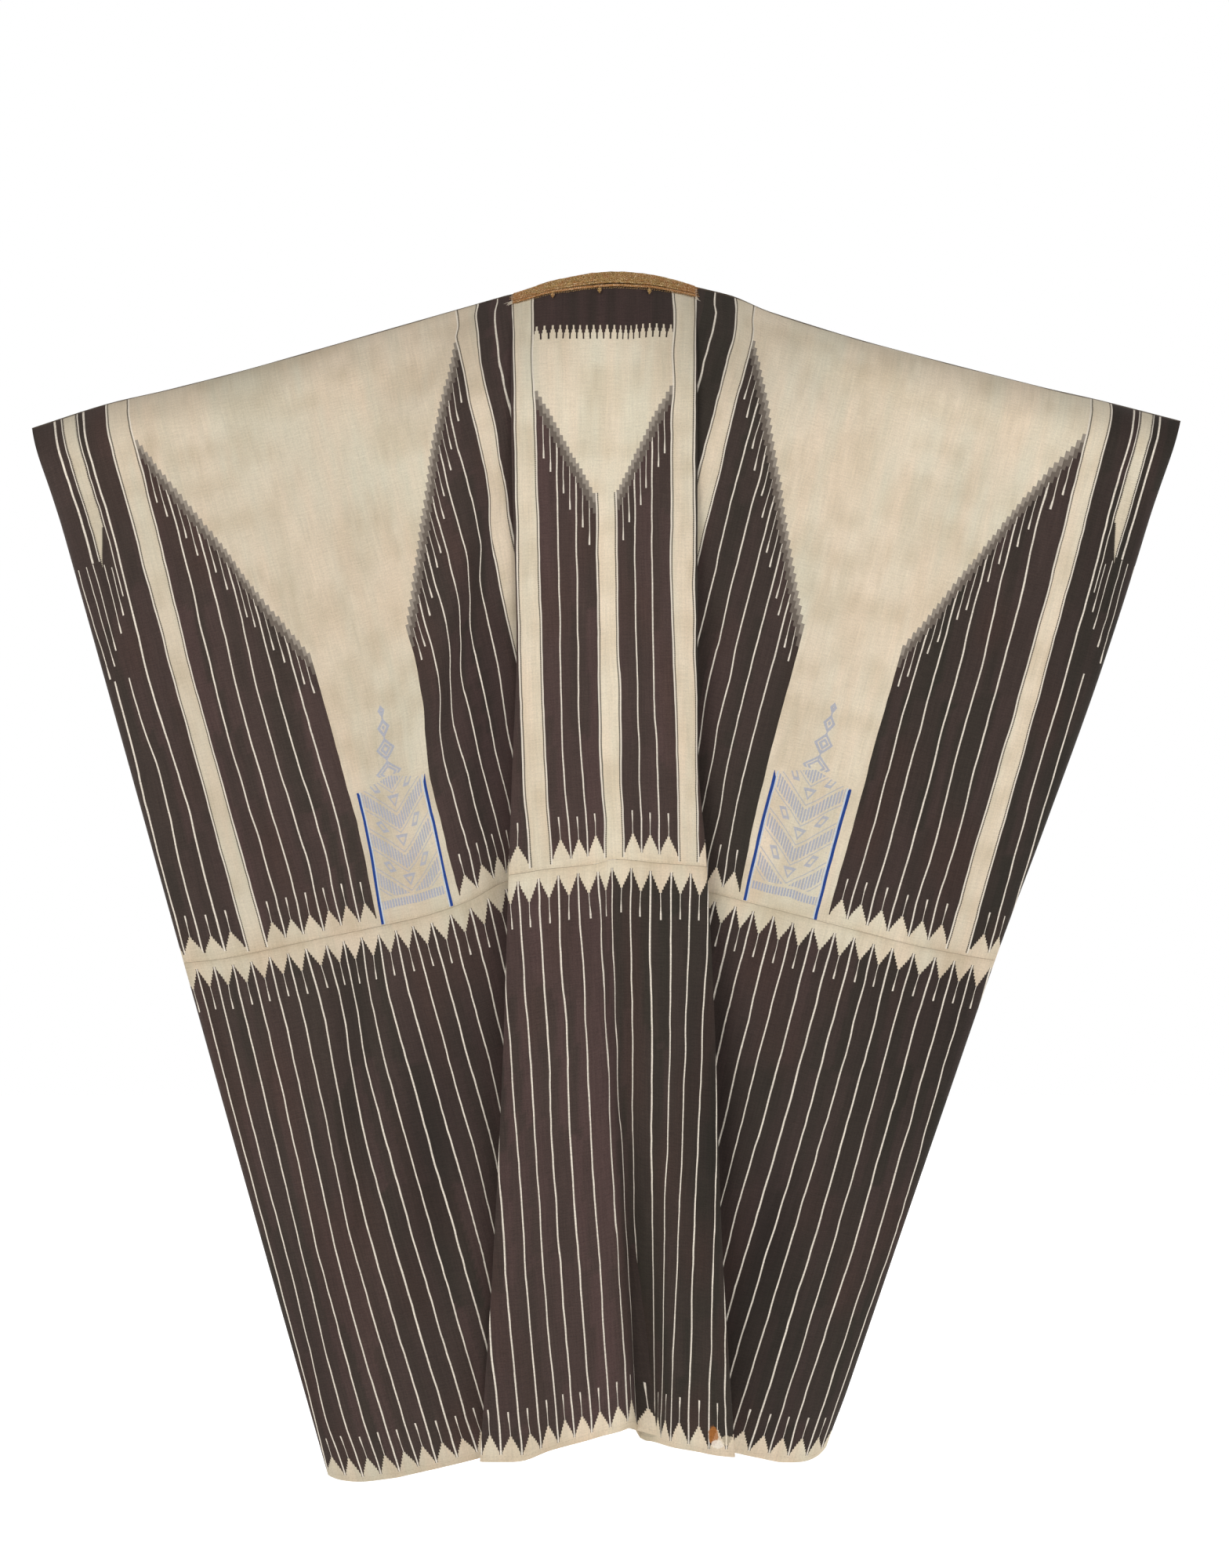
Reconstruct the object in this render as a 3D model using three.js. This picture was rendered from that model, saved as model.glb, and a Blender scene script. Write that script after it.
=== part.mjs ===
// A Syrian style aba: a wide, square-cut robe of two tapestry-woven loom widths, hung on its wearer.
//
// Millimetres, +Z up. The wearer faces -Y, so the back of the robe looks along +Y and the wearer's
// left is +X. The origin is the middle of the neck opening, level with the shoulders that hold the robe.
//
// The cloth is described in its own flat coordinates. u runs across the garment from the centre back
// (or from the centre front) out to the side fold, and v runs down from the shoulder seam. Each loom
// width is one strip: left front, side fold, back, side fold, right front.

import * as THREE from 'three';
import { mergeVertices } from 'three/addons/utils/BufferGeometryUtils.js';

// ---------------------------------------------------------------- sizes of the flat garment

const CLOTH = 1.5;                // wall of the heavy tapestry cloth
const JOIN = 0.3;                 // gap that sewn pieces keep
const NECK_HALF = 108;            // centre back to the neck end of a shoulder seam
const UPPER_DEEP = 690;           // depth of the upper loom width
const LOWER_DEEP = 640;           // depth of the lower loom width
const LENGTH = UPPER_DEEP + LOWER_DEEP;
const HAND_SLIT = 150;            // hand opening at the top of each side fold
const NECK_DROP = 75;             // how far the front neck edge is cut down
const FRONT_EDGE = 14;            // centre front to the front edge

// ---------------------------------------------------------------- trim sizes

const BRAID_WIDE = 14;
const BRAID_THICK = 1.6;
const CORD_THICK = 3.2;
const KNOT_SIZE = 5.5;
const KNOT_PLACES = [58, 5, -51];

// ---------------------------------------------------------------- how the robe hangs

const BACK = 1;
const FRONT = -1;
const LEFT = 1;
const RIGHT = -1;
const degrees = THREE.MathUtils.degToRad;

// The arms are held out and down, so each wing is turned about the neck end of its shoulder seam.
const SHOULDER_SLOPE = { [LEFT]: degrees(16), [RIGHT]: degrees(15) };
// Tilt of the tucked-in fold in plan. The two sides differ, so the tucks lie one over the other.
const TUCK_TILT = {
  [BACK]: { [LEFT]: degrees(15), [RIGHT]: degrees(4) },
  [FRONT]: { [LEFT]: degrees(4), [RIGHT]: degrees(15) },
};
const FOLD_ROLL = 3.4;            // depth of the rolled edge of a fold
const OVER_SHOULDER = 168;        // cloth that the round of a shoulder takes up beside the neck

// Half width of the middle panel, by height down the cloth.
const MIDDLE_HALF = {
  [BACK]: {
    [LEFT]: [[0, 108], [200, 106], [430, 100], [570, 105], [676, 109], [860, 115], [1080, 126], [1330, 143]],
    [RIGHT]: [[0, 108], [200, 107], [430, 107], [570, 108], [676, 117], [860, 127], [1080, 135], [1330, 151]],
  },
  [FRONT]: {
    [LEFT]: [[0, 108], [300, 112], [676, 118], [1000, 124], [1330, 138]],
    [RIGHT]: [[0, 108], [300, 108], [676, 112], [1000, 128], [1330, 146]],
  },
};
// Distance of the middle panel behind (or in front of) the shoulder line, by height.
const MIDDLE_DEPTH = {
  [BACK]: [[0, 58], [60, 95], [150, 122], [300, 132], [676, 125], [1000, 112], [1330, 104]],
  [FRONT]: [[0, 118], [100, 134], [260, 146], [676, 132], [1000, 118], [1330, 108]],
};
// How far the wing lies below the middle panel where it comes out from under it.
const WING_UNDER = [[0, 0], [60, 3.5], [100, 6.5], [300, 14], [676, 27], [1000, 36], [1330, 40]];
// How far past the edge of the middle panel the wing comes out.
const WING_START = [[0, 14], [80, 5], [300, 4], [1330, 4]];
// Half thickness of the sleeve and side, where the cloth hangs from the arm.
const ARM_DEPTH = [[0, 46], [300, 48], [676, 44], [1330, 34]];
// Distance of the side fold from the neck end of the shoulder seam, along the cloth.
const SIDE_FOLD = {
  [LEFT]: [[0, 590], [100, 587], [400, 588], [676, 590], [1000, 592], [1330, 593]],
  [RIGHT]: [[0, 592], [60, 588], [200, 583], [330, 576], [520, 560], [676, 545], [900, 529], [1330, 500]],
};
// Rise and sag of the shoulder seam against a straight line, by distance from the neck.
const SHOULDER_LINE = {
  [LEFT]: [[0, 0], [140, 0], [300, 0], [420, 3], [500, 7], [590, 4]],
  [RIGHT]: [[0, 8], [40, 9], [90, 2], [230, -3], [420, -1], [500, 2], [590, 3]],
};
// Soft hanging folds of the wings. angle is measured in the flat cloth, from straight down.
const WING_FOLDS = [
  { face: BACK, side: LEFT, u: 300, v: 90, angle: 24, wide: 34, deep: 7, from: 20, to: 420 },
  { face: BACK, side: LEFT, u: 250, v: 700, angle: -16, wide: 46, deep: -16, from: 540, to: 1330 },
  { face: BACK, side: LEFT, u: 430, v: 760, angle: -4, wide: 42, deep: 8, from: 600, to: 1330 },
  { face: BACK, side: RIGHT, u: 260, v: 720, angle: -15, wide: 44, deep: -15, from: 560, to: 1330 },
  { face: BACK, side: RIGHT, u: 200, v: 90, angle: 14, wide: 30, deep: 6, from: 20, to: 380 },
  { face: BACK, side: RIGHT, u: 420, v: 820, angle: -5, wide: 44, deep: 7, from: 620, to: 1330 },
  { face: FRONT, side: LEFT, u: 260, v: 690, angle: -15, wide: 44, deep: -15, from: 560, to: 1330 },
  { face: FRONT, side: LEFT, u: 420, v: 760, angle: -4, wide: 46, deep: 8, from: 500, to: 1330 },
  { face: FRONT, side: RIGHT, u: 250, v: 700, angle: -14, wide: 48, deep: -14, from: 520, to: 1330 },
  { face: FRONT, side: RIGHT, u: 430, v: 800, angle: -6, wide: 40, deep: 9, from: 560, to: 1330 },
];
// The pleat that drops from the waist seam in the middle of the back.
const MIDDLE_PLEAT = { top: 674, x: 0, hemX: -43, deep: 44, steep: 9, slant: 26 };
// Height of the back above a level line, across the middle panel, at the neck edge, under the yoke,
// at mid back, at the waist seam and at the hem. The cloth to one side of the pleat hangs shorter.
const BACK_RISE = [
  { v: 0, row: [[-151, 5], [-108, 8], [-85, 11.3], [-50, 15], [-20, 16], [10, 14.5], [40, 10.5], [64, 7.5],
    [84, 3], [108, -0.5], [151, -2]] },
  { v: 70, row: [[-151, 6], [-108, 6], [-60, 3], [-25, 0], [30, 0], [60, 1], [108, 0], [151, 0]] },
  { v: 300, row: [[-151, 7], [-108, 8], [-60, 8], [0, 5], [60, 4], [108, 1], [151, 0]] },
  { v: 690, row: [[-151, 16], [-105, 23], [-60, 26], [-31, 29.5], [-8, 30], [7, 25.5], [30, 22.5],
    [60, 19.8], [99, 13.5], [110, 12], [151, 7]] },
  { v: 1330, row: [[-151, 5], [-127, 8], [-105, 13], [-85, 16], [-60, 18], [-44, 17], [-34, 38], [-27, 40],
    [-20, 37], [0, 32], [20, 26], [60, 15], [100, 1], [151, 0]] },
];
// Cloth let down along a wing, by depth. The first part goes over the arm and isn't drop.
const WING_LENGTH = [[0, 0], [690, 695], [1330, 1318]];
const OVER_ARM = 20;
// Rise of the waist seam of a wing against a straight line, by u, and how it fades above and below.
const WING_SAG = {
  [LEFT]: [[108, 20], [305, 13], [352, 3], [400, 0], [465, 3], [550, 9], [641, 15], [700, 24]],
  [RIGHT]: [[108, 0], [529, 0], [604, 3.5], [649, 7], [700, 12]],
};
const SAG_BY_HEIGHT = [[0, 0], [250, 0.15], [690, 1], [1000, 0.5], [1330, 0]];
// Rounding of the hem at the side fold, by u.
const HEM_CORNER = {
  [LEFT]: [[620, 0], [660, 4], [688, 12], [702, 20]],
  [RIGHT]: [[556, 0], [585, 6], [600, 15], [608, 26]],
};
const CORNER_FROM = 1225;

// ---------------------------------------------------------------- small helpers

const clamp01 = (t) => Math.min(1, Math.max(0, t));
const mix = (a, b, t) => a + (b - a) * t;
const smooth = (a, b, x) => {
  const t = clamp01((x - a) / (b - a));
  return t * t * (3 - 2 * t);
};

// Smooth curve through a short table of [position, value] rows, without overshoot.
function along(rows, x) {
  const last = rows.length - 1;
  if (x <= rows[0][0]) return rows[0][1];
  if (x >= rows[last][0]) return rows[last][1];
  const k = rows.findIndex((row) => row[0] > x) - 1;
  const slope = (i) => (rows[i + 1][1] - rows[i][1]) / (rows[i + 1][0] - rows[i][0]);
  const tangent = (i) => {
    if (i === 0) return slope(0);
    if (i === last) return slope(last - 1);
    const before = slope(i - 1);
    const after = slope(i);
    return before * after <= 0 ? 0 : (2 * before * after) / (before + after);
  };
  const wide = rows[k + 1][0] - rows[k][0];
  const t = (x - rows[k][0]) / wide;
  const value = (2 * t ** 3 - 3 * t ** 2 + 1) * rows[k][1] + (3 * t ** 2 - 2 * t ** 3) * rows[k + 1][1];
  return value + wide * ((t ** 3 - 2 * t ** 2 + t) * tangent(k) + (t ** 3 - t ** 2) * tangent(k + 1));
}

// ---------------------------------------------------------------- the hanging cloth

// How far down the cloth has come: less than v at first, because it starts over the shoulder.
const wingDrop = (v) => along(WING_LENGTH, v) - OVER_ARM * (1 - Math.exp(-v / 32));
const middleDrop = (v) => 1.035 * v - 20 * (1 - Math.exp(-v / 40));

function middlePleat(x, v) {
  const down = clamp01((v - MIDDLE_PLEAT.top) / (LENGTH - MIDDLE_PLEAT.top));
  const centre = mix(MIDDLE_PLEAT.x, MIDDLE_PLEAT.hemX, down);
  const wide = x > centre ? MIDDLE_PLEAT.steep : MIDDLE_PLEAT.slant;
  return MIDDLE_PLEAT.deep * down ** 0.9 * Math.exp(-(((x - centre) / wide) ** 2));
}

// Depth of the middle panel's edge, where the cloth comes over the shoulder beside the neck.
function edgeDepth(face, v) {
  const overShoulder = Math.sin((Math.PI / 2) * clamp01(v / OVER_SHOULDER));
  return Math.max(1, (along(MIDDLE_DEPTH[face], v) - 8) * overShoulder);
}

// How much less the wing drops at (u, v), from its curved waist seam and its rounded hem corner.
function wingRise(side, u, v) {
  const sag = along(WING_SAG[side], u) * along(SAG_BY_HEIGHT, v);
  return sag + along(HEM_CORNER[side], u) * smooth(CORNER_FROM, LENGTH, v);
}

// A point of the middle panel: it hangs straight down, so x equals the distance across the cloth.
function middlePoint(face, side, u, v) {
  const x = side * u;
  const out = u / along(MIDDLE_HALF[face][side], v);
  const edge = edgeDepth(face, v);
  if (face === FRONT) {
    const shoulderEnd = along(SHOULDER_LINE[side], 0) * out * Math.exp(-v / 90);
    const chest = along(MIDDLE_DEPTH[face], v) * Math.sin((Math.PI / 2) * clamp01(v / (0.9 * OVER_SHOULDER)));
    return [x, -mix(Math.max(1, chest), edge, out ** 2), shoulderEnd - middleDrop(v)];
  }
  const rise = along(BACK_RISE.map((level) => [level.v, along(level.row, x)]), v);
  return [x, mix(along(MIDDLE_DEPTH[face], v), edge, out ** 2) - middlePleat(x, v), rise - middleDrop(v)];
}

// Distance out from the neck end of the shoulder seam at which the wing reaches x, on the row v.
function wingReach(side, x, v) {
  const slope = SHOULDER_SLOPE[side];
  const reach = (drop) => (x - NECK_HALF + drop * Math.sin(slope)) / Math.cos(slope);
  const level = reach(wingDrop(v));
  return reach(wingDrop(v) - wingRise(side, NECK_HALF + level, v));
}

function wingFolds(face, side, u, v) {
  let depth = 0;
  for (const fold of WING_FOLDS.filter((row) => row.face === face && row.side === side)) {
    const centre = fold.u - Math.tan(degrees(fold.angle)) * (v - fold.v);
    const fade = smooth(fold.from, fold.from + 120, v) * (1 - smooth(fold.to - 60, fold.to + 200, v));
    depth += fold.deep * fade * Math.exp(-(((u - centre) / fold.wide) ** 2));
  }
  return depth;
}

// A point of a wing: turned in its own plane to hang square to the arm.
function wingPoint(face, side, u, v) {
  const slope = SHOULDER_SLOPE[side];
  const reach = u - NECK_HALF;
  const drop = wingDrop(v) - wingRise(side, u, v);
  const x = NECK_HALF + reach * Math.cos(slope) - drop * Math.sin(slope);
  const lift = along(SHOULDER_LINE[side], reach) * Math.exp(-v / 150);
  const z = lift - reach * Math.sin(slope) - drop * Math.cos(slope);
  const edge = along(MIDDLE_HALF[face][side], v);
  const arm = along(ARM_DEPTH, v);
  const fold = along(SIDE_FOLD[side], v);
  const open = 0.55 * (1 - smooth(0.65 * HAND_SLIT, 1.5 * HAND_SLIT, v));
  const nearFold = Math.sqrt(Math.max(0, 1 - clamp01(reach / fold) ** 5));
  const body = nearFold * Math.exp(-((Math.max(0, x - edge) / mix(165, 105, v / LENGTH)) ** 2));
  const overArm = Math.sin((Math.PI / 2) * clamp01(v / 70));
  const atArm = arm * mix(nearFold, 1, open) * overArm;
  const atBody = edgeDepth(face, v) - along(WING_UNDER, v);
  const folds = wingFolds(face, side, u, v) * Math.min(1, 3 * (1 - reach / fold)) * overArm;
  return [side * x, face * Math.max(1, mix(atArm, atBody, body) + folds), z];
}

// The tucked-in fold between the middle panel and the wing. It ends where the wing comes out.
function tuck(face, side, v) {
  const edge = along(MIDDLE_HALF[face][side], v);
  const uWing = NECK_HALF + wingReach(side, edge + along(WING_START, v), v);
  const from = middlePoint(face, side, edge, v);
  const to = wingPoint(face, side, uWing, v);
  const layer = (uWing - edge) / 2;
  const apart = Math.hypot(to[0] - from[0], to[1] - from[1]) / 2;
  const folded = smooth(12, 90, v);
  const reach = Math.sqrt(Math.max(0, layer ** 2 - apart ** 2)) * folded;
  const tilt = TUCK_TILT[face][side];
  const roll = FOLD_ROLL * folded;
  const inner = [
    (from[0] + to[0]) / 2 - side * reach * Math.cos(tilt),
    (from[1] + to[1]) / 2 - face * reach * Math.sin(tilt),
    wingPoint(face, side, edge + layer, v)[2],
  ];
  return { edge, layer, uWing, from, to, inner, roll };
}

const lerpPoint = (a, b, t) => a.map((value, i) => mix(value, b[i], t));

// Cells across each layer of the tuck, and the wing out to the side fold.
const LAYER_CELLS = 2;
const WING_CELLS = 7;

// Where the rows of points stand across the middle panel, short of its edge.
function middleStops(face, side, v, edge) {
  if (face === BACK && side === RIGHT) {
    const down = clamp01((v - MIDDLE_PLEAT.top) / (LENGTH - MIDDLE_PLEAT.top));
    const pleat = mix(6, -MIDDLE_PLEAT.hemX, down);
    const before = Math.max(pleat * 0.5, pleat - MIDDLE_PLEAT.steep * 1.6);
    const beyond = pleat + MIDDLE_PLEAT.slant * 0.6;
    return [0, before, pleat, beyond, mix(beyond, edge, 0.3), mix(beyond, edge, 0.65)];
  }
  const start = face === FRONT ? FRONT_EDGE : 0;
  return [0, 0.17, 0.34, 0.51, 0.68, 0.85].map((t) => mix(start, edge, t));
}

// One row of the cloth from the centre to the side fold.
function halfRow(face, side, v) {
  const fold = tuck(face, side, v);
  const row = [];
  for (const u of middleStops(face, side, v, fold.edge)) {
    const cut = face === FRONT ? NECK_DROP * Math.max(0, 1 - (u / NECK_HALF) ** 2) : 0;
    row.push(middlePoint(face, side, u, v + cut * (1 - Math.min(1, v / UPPER_DEEP))));
  }
  const rolled = (point) => [point[0], point[1] - face * fold.roll, point[2]];
  for (let i = 0; i <= LAYER_CELLS; i += 1) {
    const t = i / LAYER_CELLS;
    row.push(lerpPoint(i === 0 ? fold.from : rolled(fold.from), fold.inner, t));
    if (i === 0) row.push(rolled(fold.from));
  }
  for (let i = 0; i < LAYER_CELLS; i += 1) {
    row.push(lerpPoint(rolled(fold.inner), fold.to, i / LAYER_CELLS));
  }
  const sideFold = NECK_HALF + along(SIDE_FOLD[side], v);
  for (let i = 0; i <= WING_CELLS; i += 1) {
    const t = Math.sin((Math.PI / 2) * (i / WING_CELLS)) * 0.35 + 0.65 * (i / WING_CELLS);
    row.push(wingPoint(face, side, mix(fold.uWing, sideFold, t), v));
  }
  return row;
}

// A strip of cloth as one grid of points. At the side folds a row is shared by back and front,
// except beside the hand slit, where back and front each keep a corner of their own.
function stripSheet(levels) {
  const points = [];
  const rows = levels.map((v) => {
    const add = (point) => points.push(point) - 1;
    const half = (face, side) => halfRow(face, side, v).map(add);
    const quarters = {
      leftFront: half(FRONT, LEFT),
      leftBack: half(BACK, LEFT),
      rightBack: half(BACK, RIGHT),
      rightFront: half(FRONT, RIGHT),
    };
    const joined = v >= HAND_SLIT;
    for (const [back, front] of [['leftBack', 'leftFront'], ['rightBack', 'rightFront']]) {
      const end = quarters[back].length - 1;
      if (joined) {
        const corner = points[quarters[back][end]];
        corner[1] = 0;
        quarters[front][end] = quarters[back][end];
      }
    }
    quarters.rightBack[0] = quarters.leftBack[0];
    return quarters;
  });
  const quads = [];
  const weave = (name, flip) => {
    for (let r = 0; r + 1 < rows.length; r += 1) {
      const upper = rows[r][name];
      const lower = rows[r + 1][name];
      for (let c = 0; c + 1 < upper.length; c += 1) {
        const quad = [upper[c], lower[c], lower[c + 1], upper[c + 1]];
        quads.push(flip ? quad.reverse() : quad);
      }
    }
  };
  weave('leftBack', true);
  weave('rightBack', false);
  weave('leftFront', false);
  weave('rightFront', true);
  return { points, quads };
}

// Closes a sheet into a wall: both faces moved half the thickness off it, and a rim round every edge.
function wall(sheet, thick, shift = 0) {
  const place = sheet.points.map((p) => new THREE.Vector3(...p));
  const normal = place.map(() => new THREE.Vector3());
  const triangles = [];
  for (const [a, b, c, d] of sheet.quads) {
    triangles.push([a, b, c], [a, c, d]);
  }
  for (const [a, b, c] of triangles) {
    const ab = place[b].clone().sub(place[a]);
    const ac = place[c].clone().sub(place[a]);
    const across = ab.cross(ac).normalize();
    for (const i of [a, b, c]) normal[i].add(across);
  }
  normal.forEach((n) => n.normalize());
  const count = place.length;
  const outer = place.map((p, i) => p.clone().addScaledVector(normal[i], shift + thick / 2));
  const inner = place.map((p, i) => p.clone().addScaledVector(normal[i], shift - thick / 2));
  const index = [];
  const edges = new Map();
  for (const [a, b, c] of triangles) {
    index.push(a, b, c, count + a, count + c, count + b);
    for (const [from, to] of [[a, b], [b, c], [c, a]]) {
      if (!edges.delete(`${to},${from}`)) edges.set(`${from},${to}`, [from, to]);
    }
  }
  for (const [from, to] of edges.values()) {
    index.push(from, count + from, to, to, count + from, count + to);
  }
  const geometry = new THREE.BufferGeometry();
  const flat = [...outer, ...inner].flatMap((p) => p.toArray());
  geometry.setAttribute('position', new THREE.Float32BufferAttribute(flat, 3));
  geometry.setIndex(index);
  const closed = mergeVertices(geometry, 1e-4);
  closed.computeVertexNormals();
  return closed;
}

// ---------------------------------------------------------------- neck trim

// A point on the outer face of the back neck, a given distance down and out from the edge.
function neckPoint(x, down, out) {
  const side = x >= 0 ? LEFT : RIGHT;
  const step = 2;
  const at = new THREE.Vector3(...middlePoint(BACK, side, Math.abs(x), down));
  const along1 = new THREE.Vector3(...middlePoint(BACK, side, Math.abs(x) + step, down)).sub(at);
  const below = new THREE.Vector3(...middlePoint(BACK, side, Math.abs(x), down + step)).sub(at);
  const outward = along1.cross(below).multiplyScalar(side).normalize();
  return at.addScaledVector(outward, out);
}

const TRIM_HALF = NECK_HALF - 3;
const TRIM_STEPS = 20;

function braidBand() {
  const seat = CLOTH / 2 + JOIN + BRAID_THICK / 2;
  const points = [];
  const quads = [];
  const across = [0.5, BRAID_WIDE / 2, BRAID_WIDE];
  for (let i = 0; i <= TRIM_STEPS; i += 1) {
    const x = mix(TRIM_HALF, -TRIM_HALF, i / TRIM_STEPS);
    for (const down of across) points.push(neckPoint(x, down, seat).toArray());
  }
  for (let i = 0; i < TRIM_STEPS; i += 1) {
    for (let j = 0; j + 1 < across.length; j += 1) {
      const a = i * across.length + j;
      quads.push([a, a + 1, a + across.length + 1, a + across.length]);
    }
  }
  return wall({ points, quads }, BRAID_THICK);
}

function neckCord(down) {
  const seat = CLOTH / 2 + JOIN + CORD_THICK / 2;
  const path = [];
  for (let i = 0; i <= TRIM_STEPS; i += 1) {
    path.push(neckPoint(mix(TRIM_HALF, -TRIM_HALF, i / TRIM_STEPS), down, seat));
  }
  const section = new THREE.Shape();
  section.absarc(0, 0, CORD_THICK / 2, 0, Math.PI * 2, false);
  return new THREE.ExtrudeGeometry(section, {
    steps: TRIM_STEPS,
    curveSegments: 8,
    bevelEnabled: false,
    extrudePath: new THREE.CatmullRomCurve3(path),
  });
}

// ---------------------------------------------------------------- scene graph

const tapestry = () => new THREE.MeshStandardMaterial({ color: 0x4a3a35, roughness: 0.9, metalness: 0 });
const gold = () => new THREE.MeshStandardMaterial({ color: 0xb48a4c, roughness: 0.45, metalness: 0.6 });

const robe = new THREE.Group();

function add(name, geometry, material) {
  const mesh = new THREE.Mesh(geometry, material);
  mesh.name = name;
  robe.add(mesh);
  return mesh;
}

const levels = (from, to, steps) => steps.map((t) => mix(from, to, t));
const UPPER_LEVELS = [0, 10, 22, 38, 58, 82, 112, HAND_SLIT, 205, 265, 330, 400, 470, 540, 610];
const LOWER_STEPS = [0, 0.08, 0.16, 0.25, 0.34, 0.43, 0.52, 0.61, 0.7, 0.79, 0.88, 1];

add('upper_loom_width', wall(stripSheet([...UPPER_LEVELS, UPPER_DEEP - JOIN / 2]), CLOTH), tapestry());
add('lower_loom_width', wall(stripSheet(levels(UPPER_DEEP + JOIN / 2, LENGTH, LOWER_STEPS)), CLOTH), tapestry());
add('neck_braid', braidBand(), gold());
const FIRST_CORD = BRAID_WIDE + JOIN + CORD_THICK / 2 + 0.4;
const SECOND_CORD = FIRST_CORD + CORD_THICK + 3 * JOIN;
add('neck_cord_upper', neckCord(FIRST_CORD), gold());
add('neck_cord_lower', neckCord(SECOND_CORD), gold());

KNOT_PLACES.forEach((x, i) => {
  const ball = new THREE.SphereGeometry(KNOT_SIZE / 2, 12, 8);
  ball.scale(1, 0.8, 1.35);
  const knot = add(`gold_knot_${i + 1}`, ball, gold());
  knot.position.copy(neckPoint(x, SECOND_CORD + CORD_THICK / 2 + 4.2, CLOTH / 2 + JOIN + KNOT_SIZE * 0.47));
});

export default robe;
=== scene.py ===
"""Looks of a worn aba robe: two tapestry loom widths sewn across the waist, gilt trim at the neck.

The cloth is described in its own flat coordinates, in millimetres. u runs across the garment from
the centre back (or centre front) to the side fold, and v runs down from the shoulder seam. Each loom
width is one strip: left front, side fold, back, side fold, right front. The weave's design has its
own coordinates: p counts across the warp and q down it, and the thread tables say where the
threads of the design lie in the worn cloth. +X is the wearer's left, and the back looks along +Y.
"""

import math
import random

import bmesh
import bpy
import numpy as np
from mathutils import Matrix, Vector


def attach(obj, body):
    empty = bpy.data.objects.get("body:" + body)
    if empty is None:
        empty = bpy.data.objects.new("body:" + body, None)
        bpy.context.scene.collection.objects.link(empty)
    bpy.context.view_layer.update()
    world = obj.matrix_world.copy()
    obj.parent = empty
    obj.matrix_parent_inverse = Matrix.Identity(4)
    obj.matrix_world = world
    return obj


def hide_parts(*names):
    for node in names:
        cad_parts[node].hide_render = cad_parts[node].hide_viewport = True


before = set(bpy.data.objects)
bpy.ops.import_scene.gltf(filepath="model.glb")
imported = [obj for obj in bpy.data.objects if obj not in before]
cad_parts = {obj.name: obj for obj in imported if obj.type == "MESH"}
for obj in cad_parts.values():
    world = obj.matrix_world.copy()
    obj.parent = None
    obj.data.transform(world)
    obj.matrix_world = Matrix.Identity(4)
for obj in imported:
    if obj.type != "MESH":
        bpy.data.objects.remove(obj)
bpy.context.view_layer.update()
scene = bpy.context.scene

MM = 0.001
BACK, FRONT = 1, -1
LEFT, RIGHT = 1, -1

# ---------------------------------------------------------------- sizes of the flat garment

CLOTH = 1.5
JOIN = 0.3
NECK_HALF = 108.0
UPPER_DEEP = 690.0
LOWER_DEEP = 640.0
LENGTH = UPPER_DEEP + LOWER_DEEP
HAND_SLIT = 150.0
NECK_DROP = 75.0
FRONT_EDGE = 14.0

# ---------------------------------------------------------------- how the robe hangs

SHOULDER_SLOPE = {LEFT: math.radians(16), RIGHT: math.radians(15)}
TUCK_TILT = {
    (BACK, LEFT): math.radians(15), (BACK, RIGHT): math.radians(4),
    (FRONT, LEFT): math.radians(4), (FRONT, RIGHT): math.radians(15),
}
FOLD_ROLL = 3.4
OVER_SHOULDER = 168.0
MIDDLE_HALF = {
    (BACK, LEFT): [(0, 108), (200, 106), (430, 100), (570, 105), (676, 109), (860, 115), (1080, 126),
                   (1330, 143)],
    (BACK, RIGHT): [(0, 108), (200, 107), (430, 107), (570, 108), (676, 117), (860, 127), (1080, 135),
                    (1330, 151)],
    (FRONT, LEFT): [(0, 108), (300, 112), (676, 118), (1000, 124), (1330, 138)],
    (FRONT, RIGHT): [(0, 108), (300, 108), (676, 112), (1000, 128), (1330, 146)],
}
MIDDLE_DEPTH = {
    BACK: [(0, 58), (60, 95), (150, 122), (300, 132), (676, 125), (1000, 112), (1330, 104)],
    FRONT: [(0, 118), (100, 134), (260, 146), (676, 132), (1000, 118), (1330, 108)],
}
WING_UNDER = [(0, 0), (60, 3.5), (100, 6.5), (300, 14), (676, 27), (1000, 36), (1330, 40)]
WING_START = [(0, 14), (80, 5), (300, 4), (1330, 4)]
ARM_DEPTH = [(0, 46), (300, 48), (676, 44), (1330, 34)]
SIDE_FOLD = {
    LEFT: [(0, 590), (100, 587), (400, 588), (676, 590), (1000, 592), (1330, 593)],
    RIGHT: [(0, 592), (60, 588), (200, 583), (330, 576), (520, 560), (676, 545), (900, 529), (1330, 500)],
}
SHOULDER_LINE = {
    LEFT: [(0, 0), (140, 0), (300, 0), (420, 3), (500, 7), (590, 4)],
    RIGHT: [(0, 8), (40, 9), (90, 2), (230, -3), (420, -1), (500, 2), (590, 3)],
}
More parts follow.
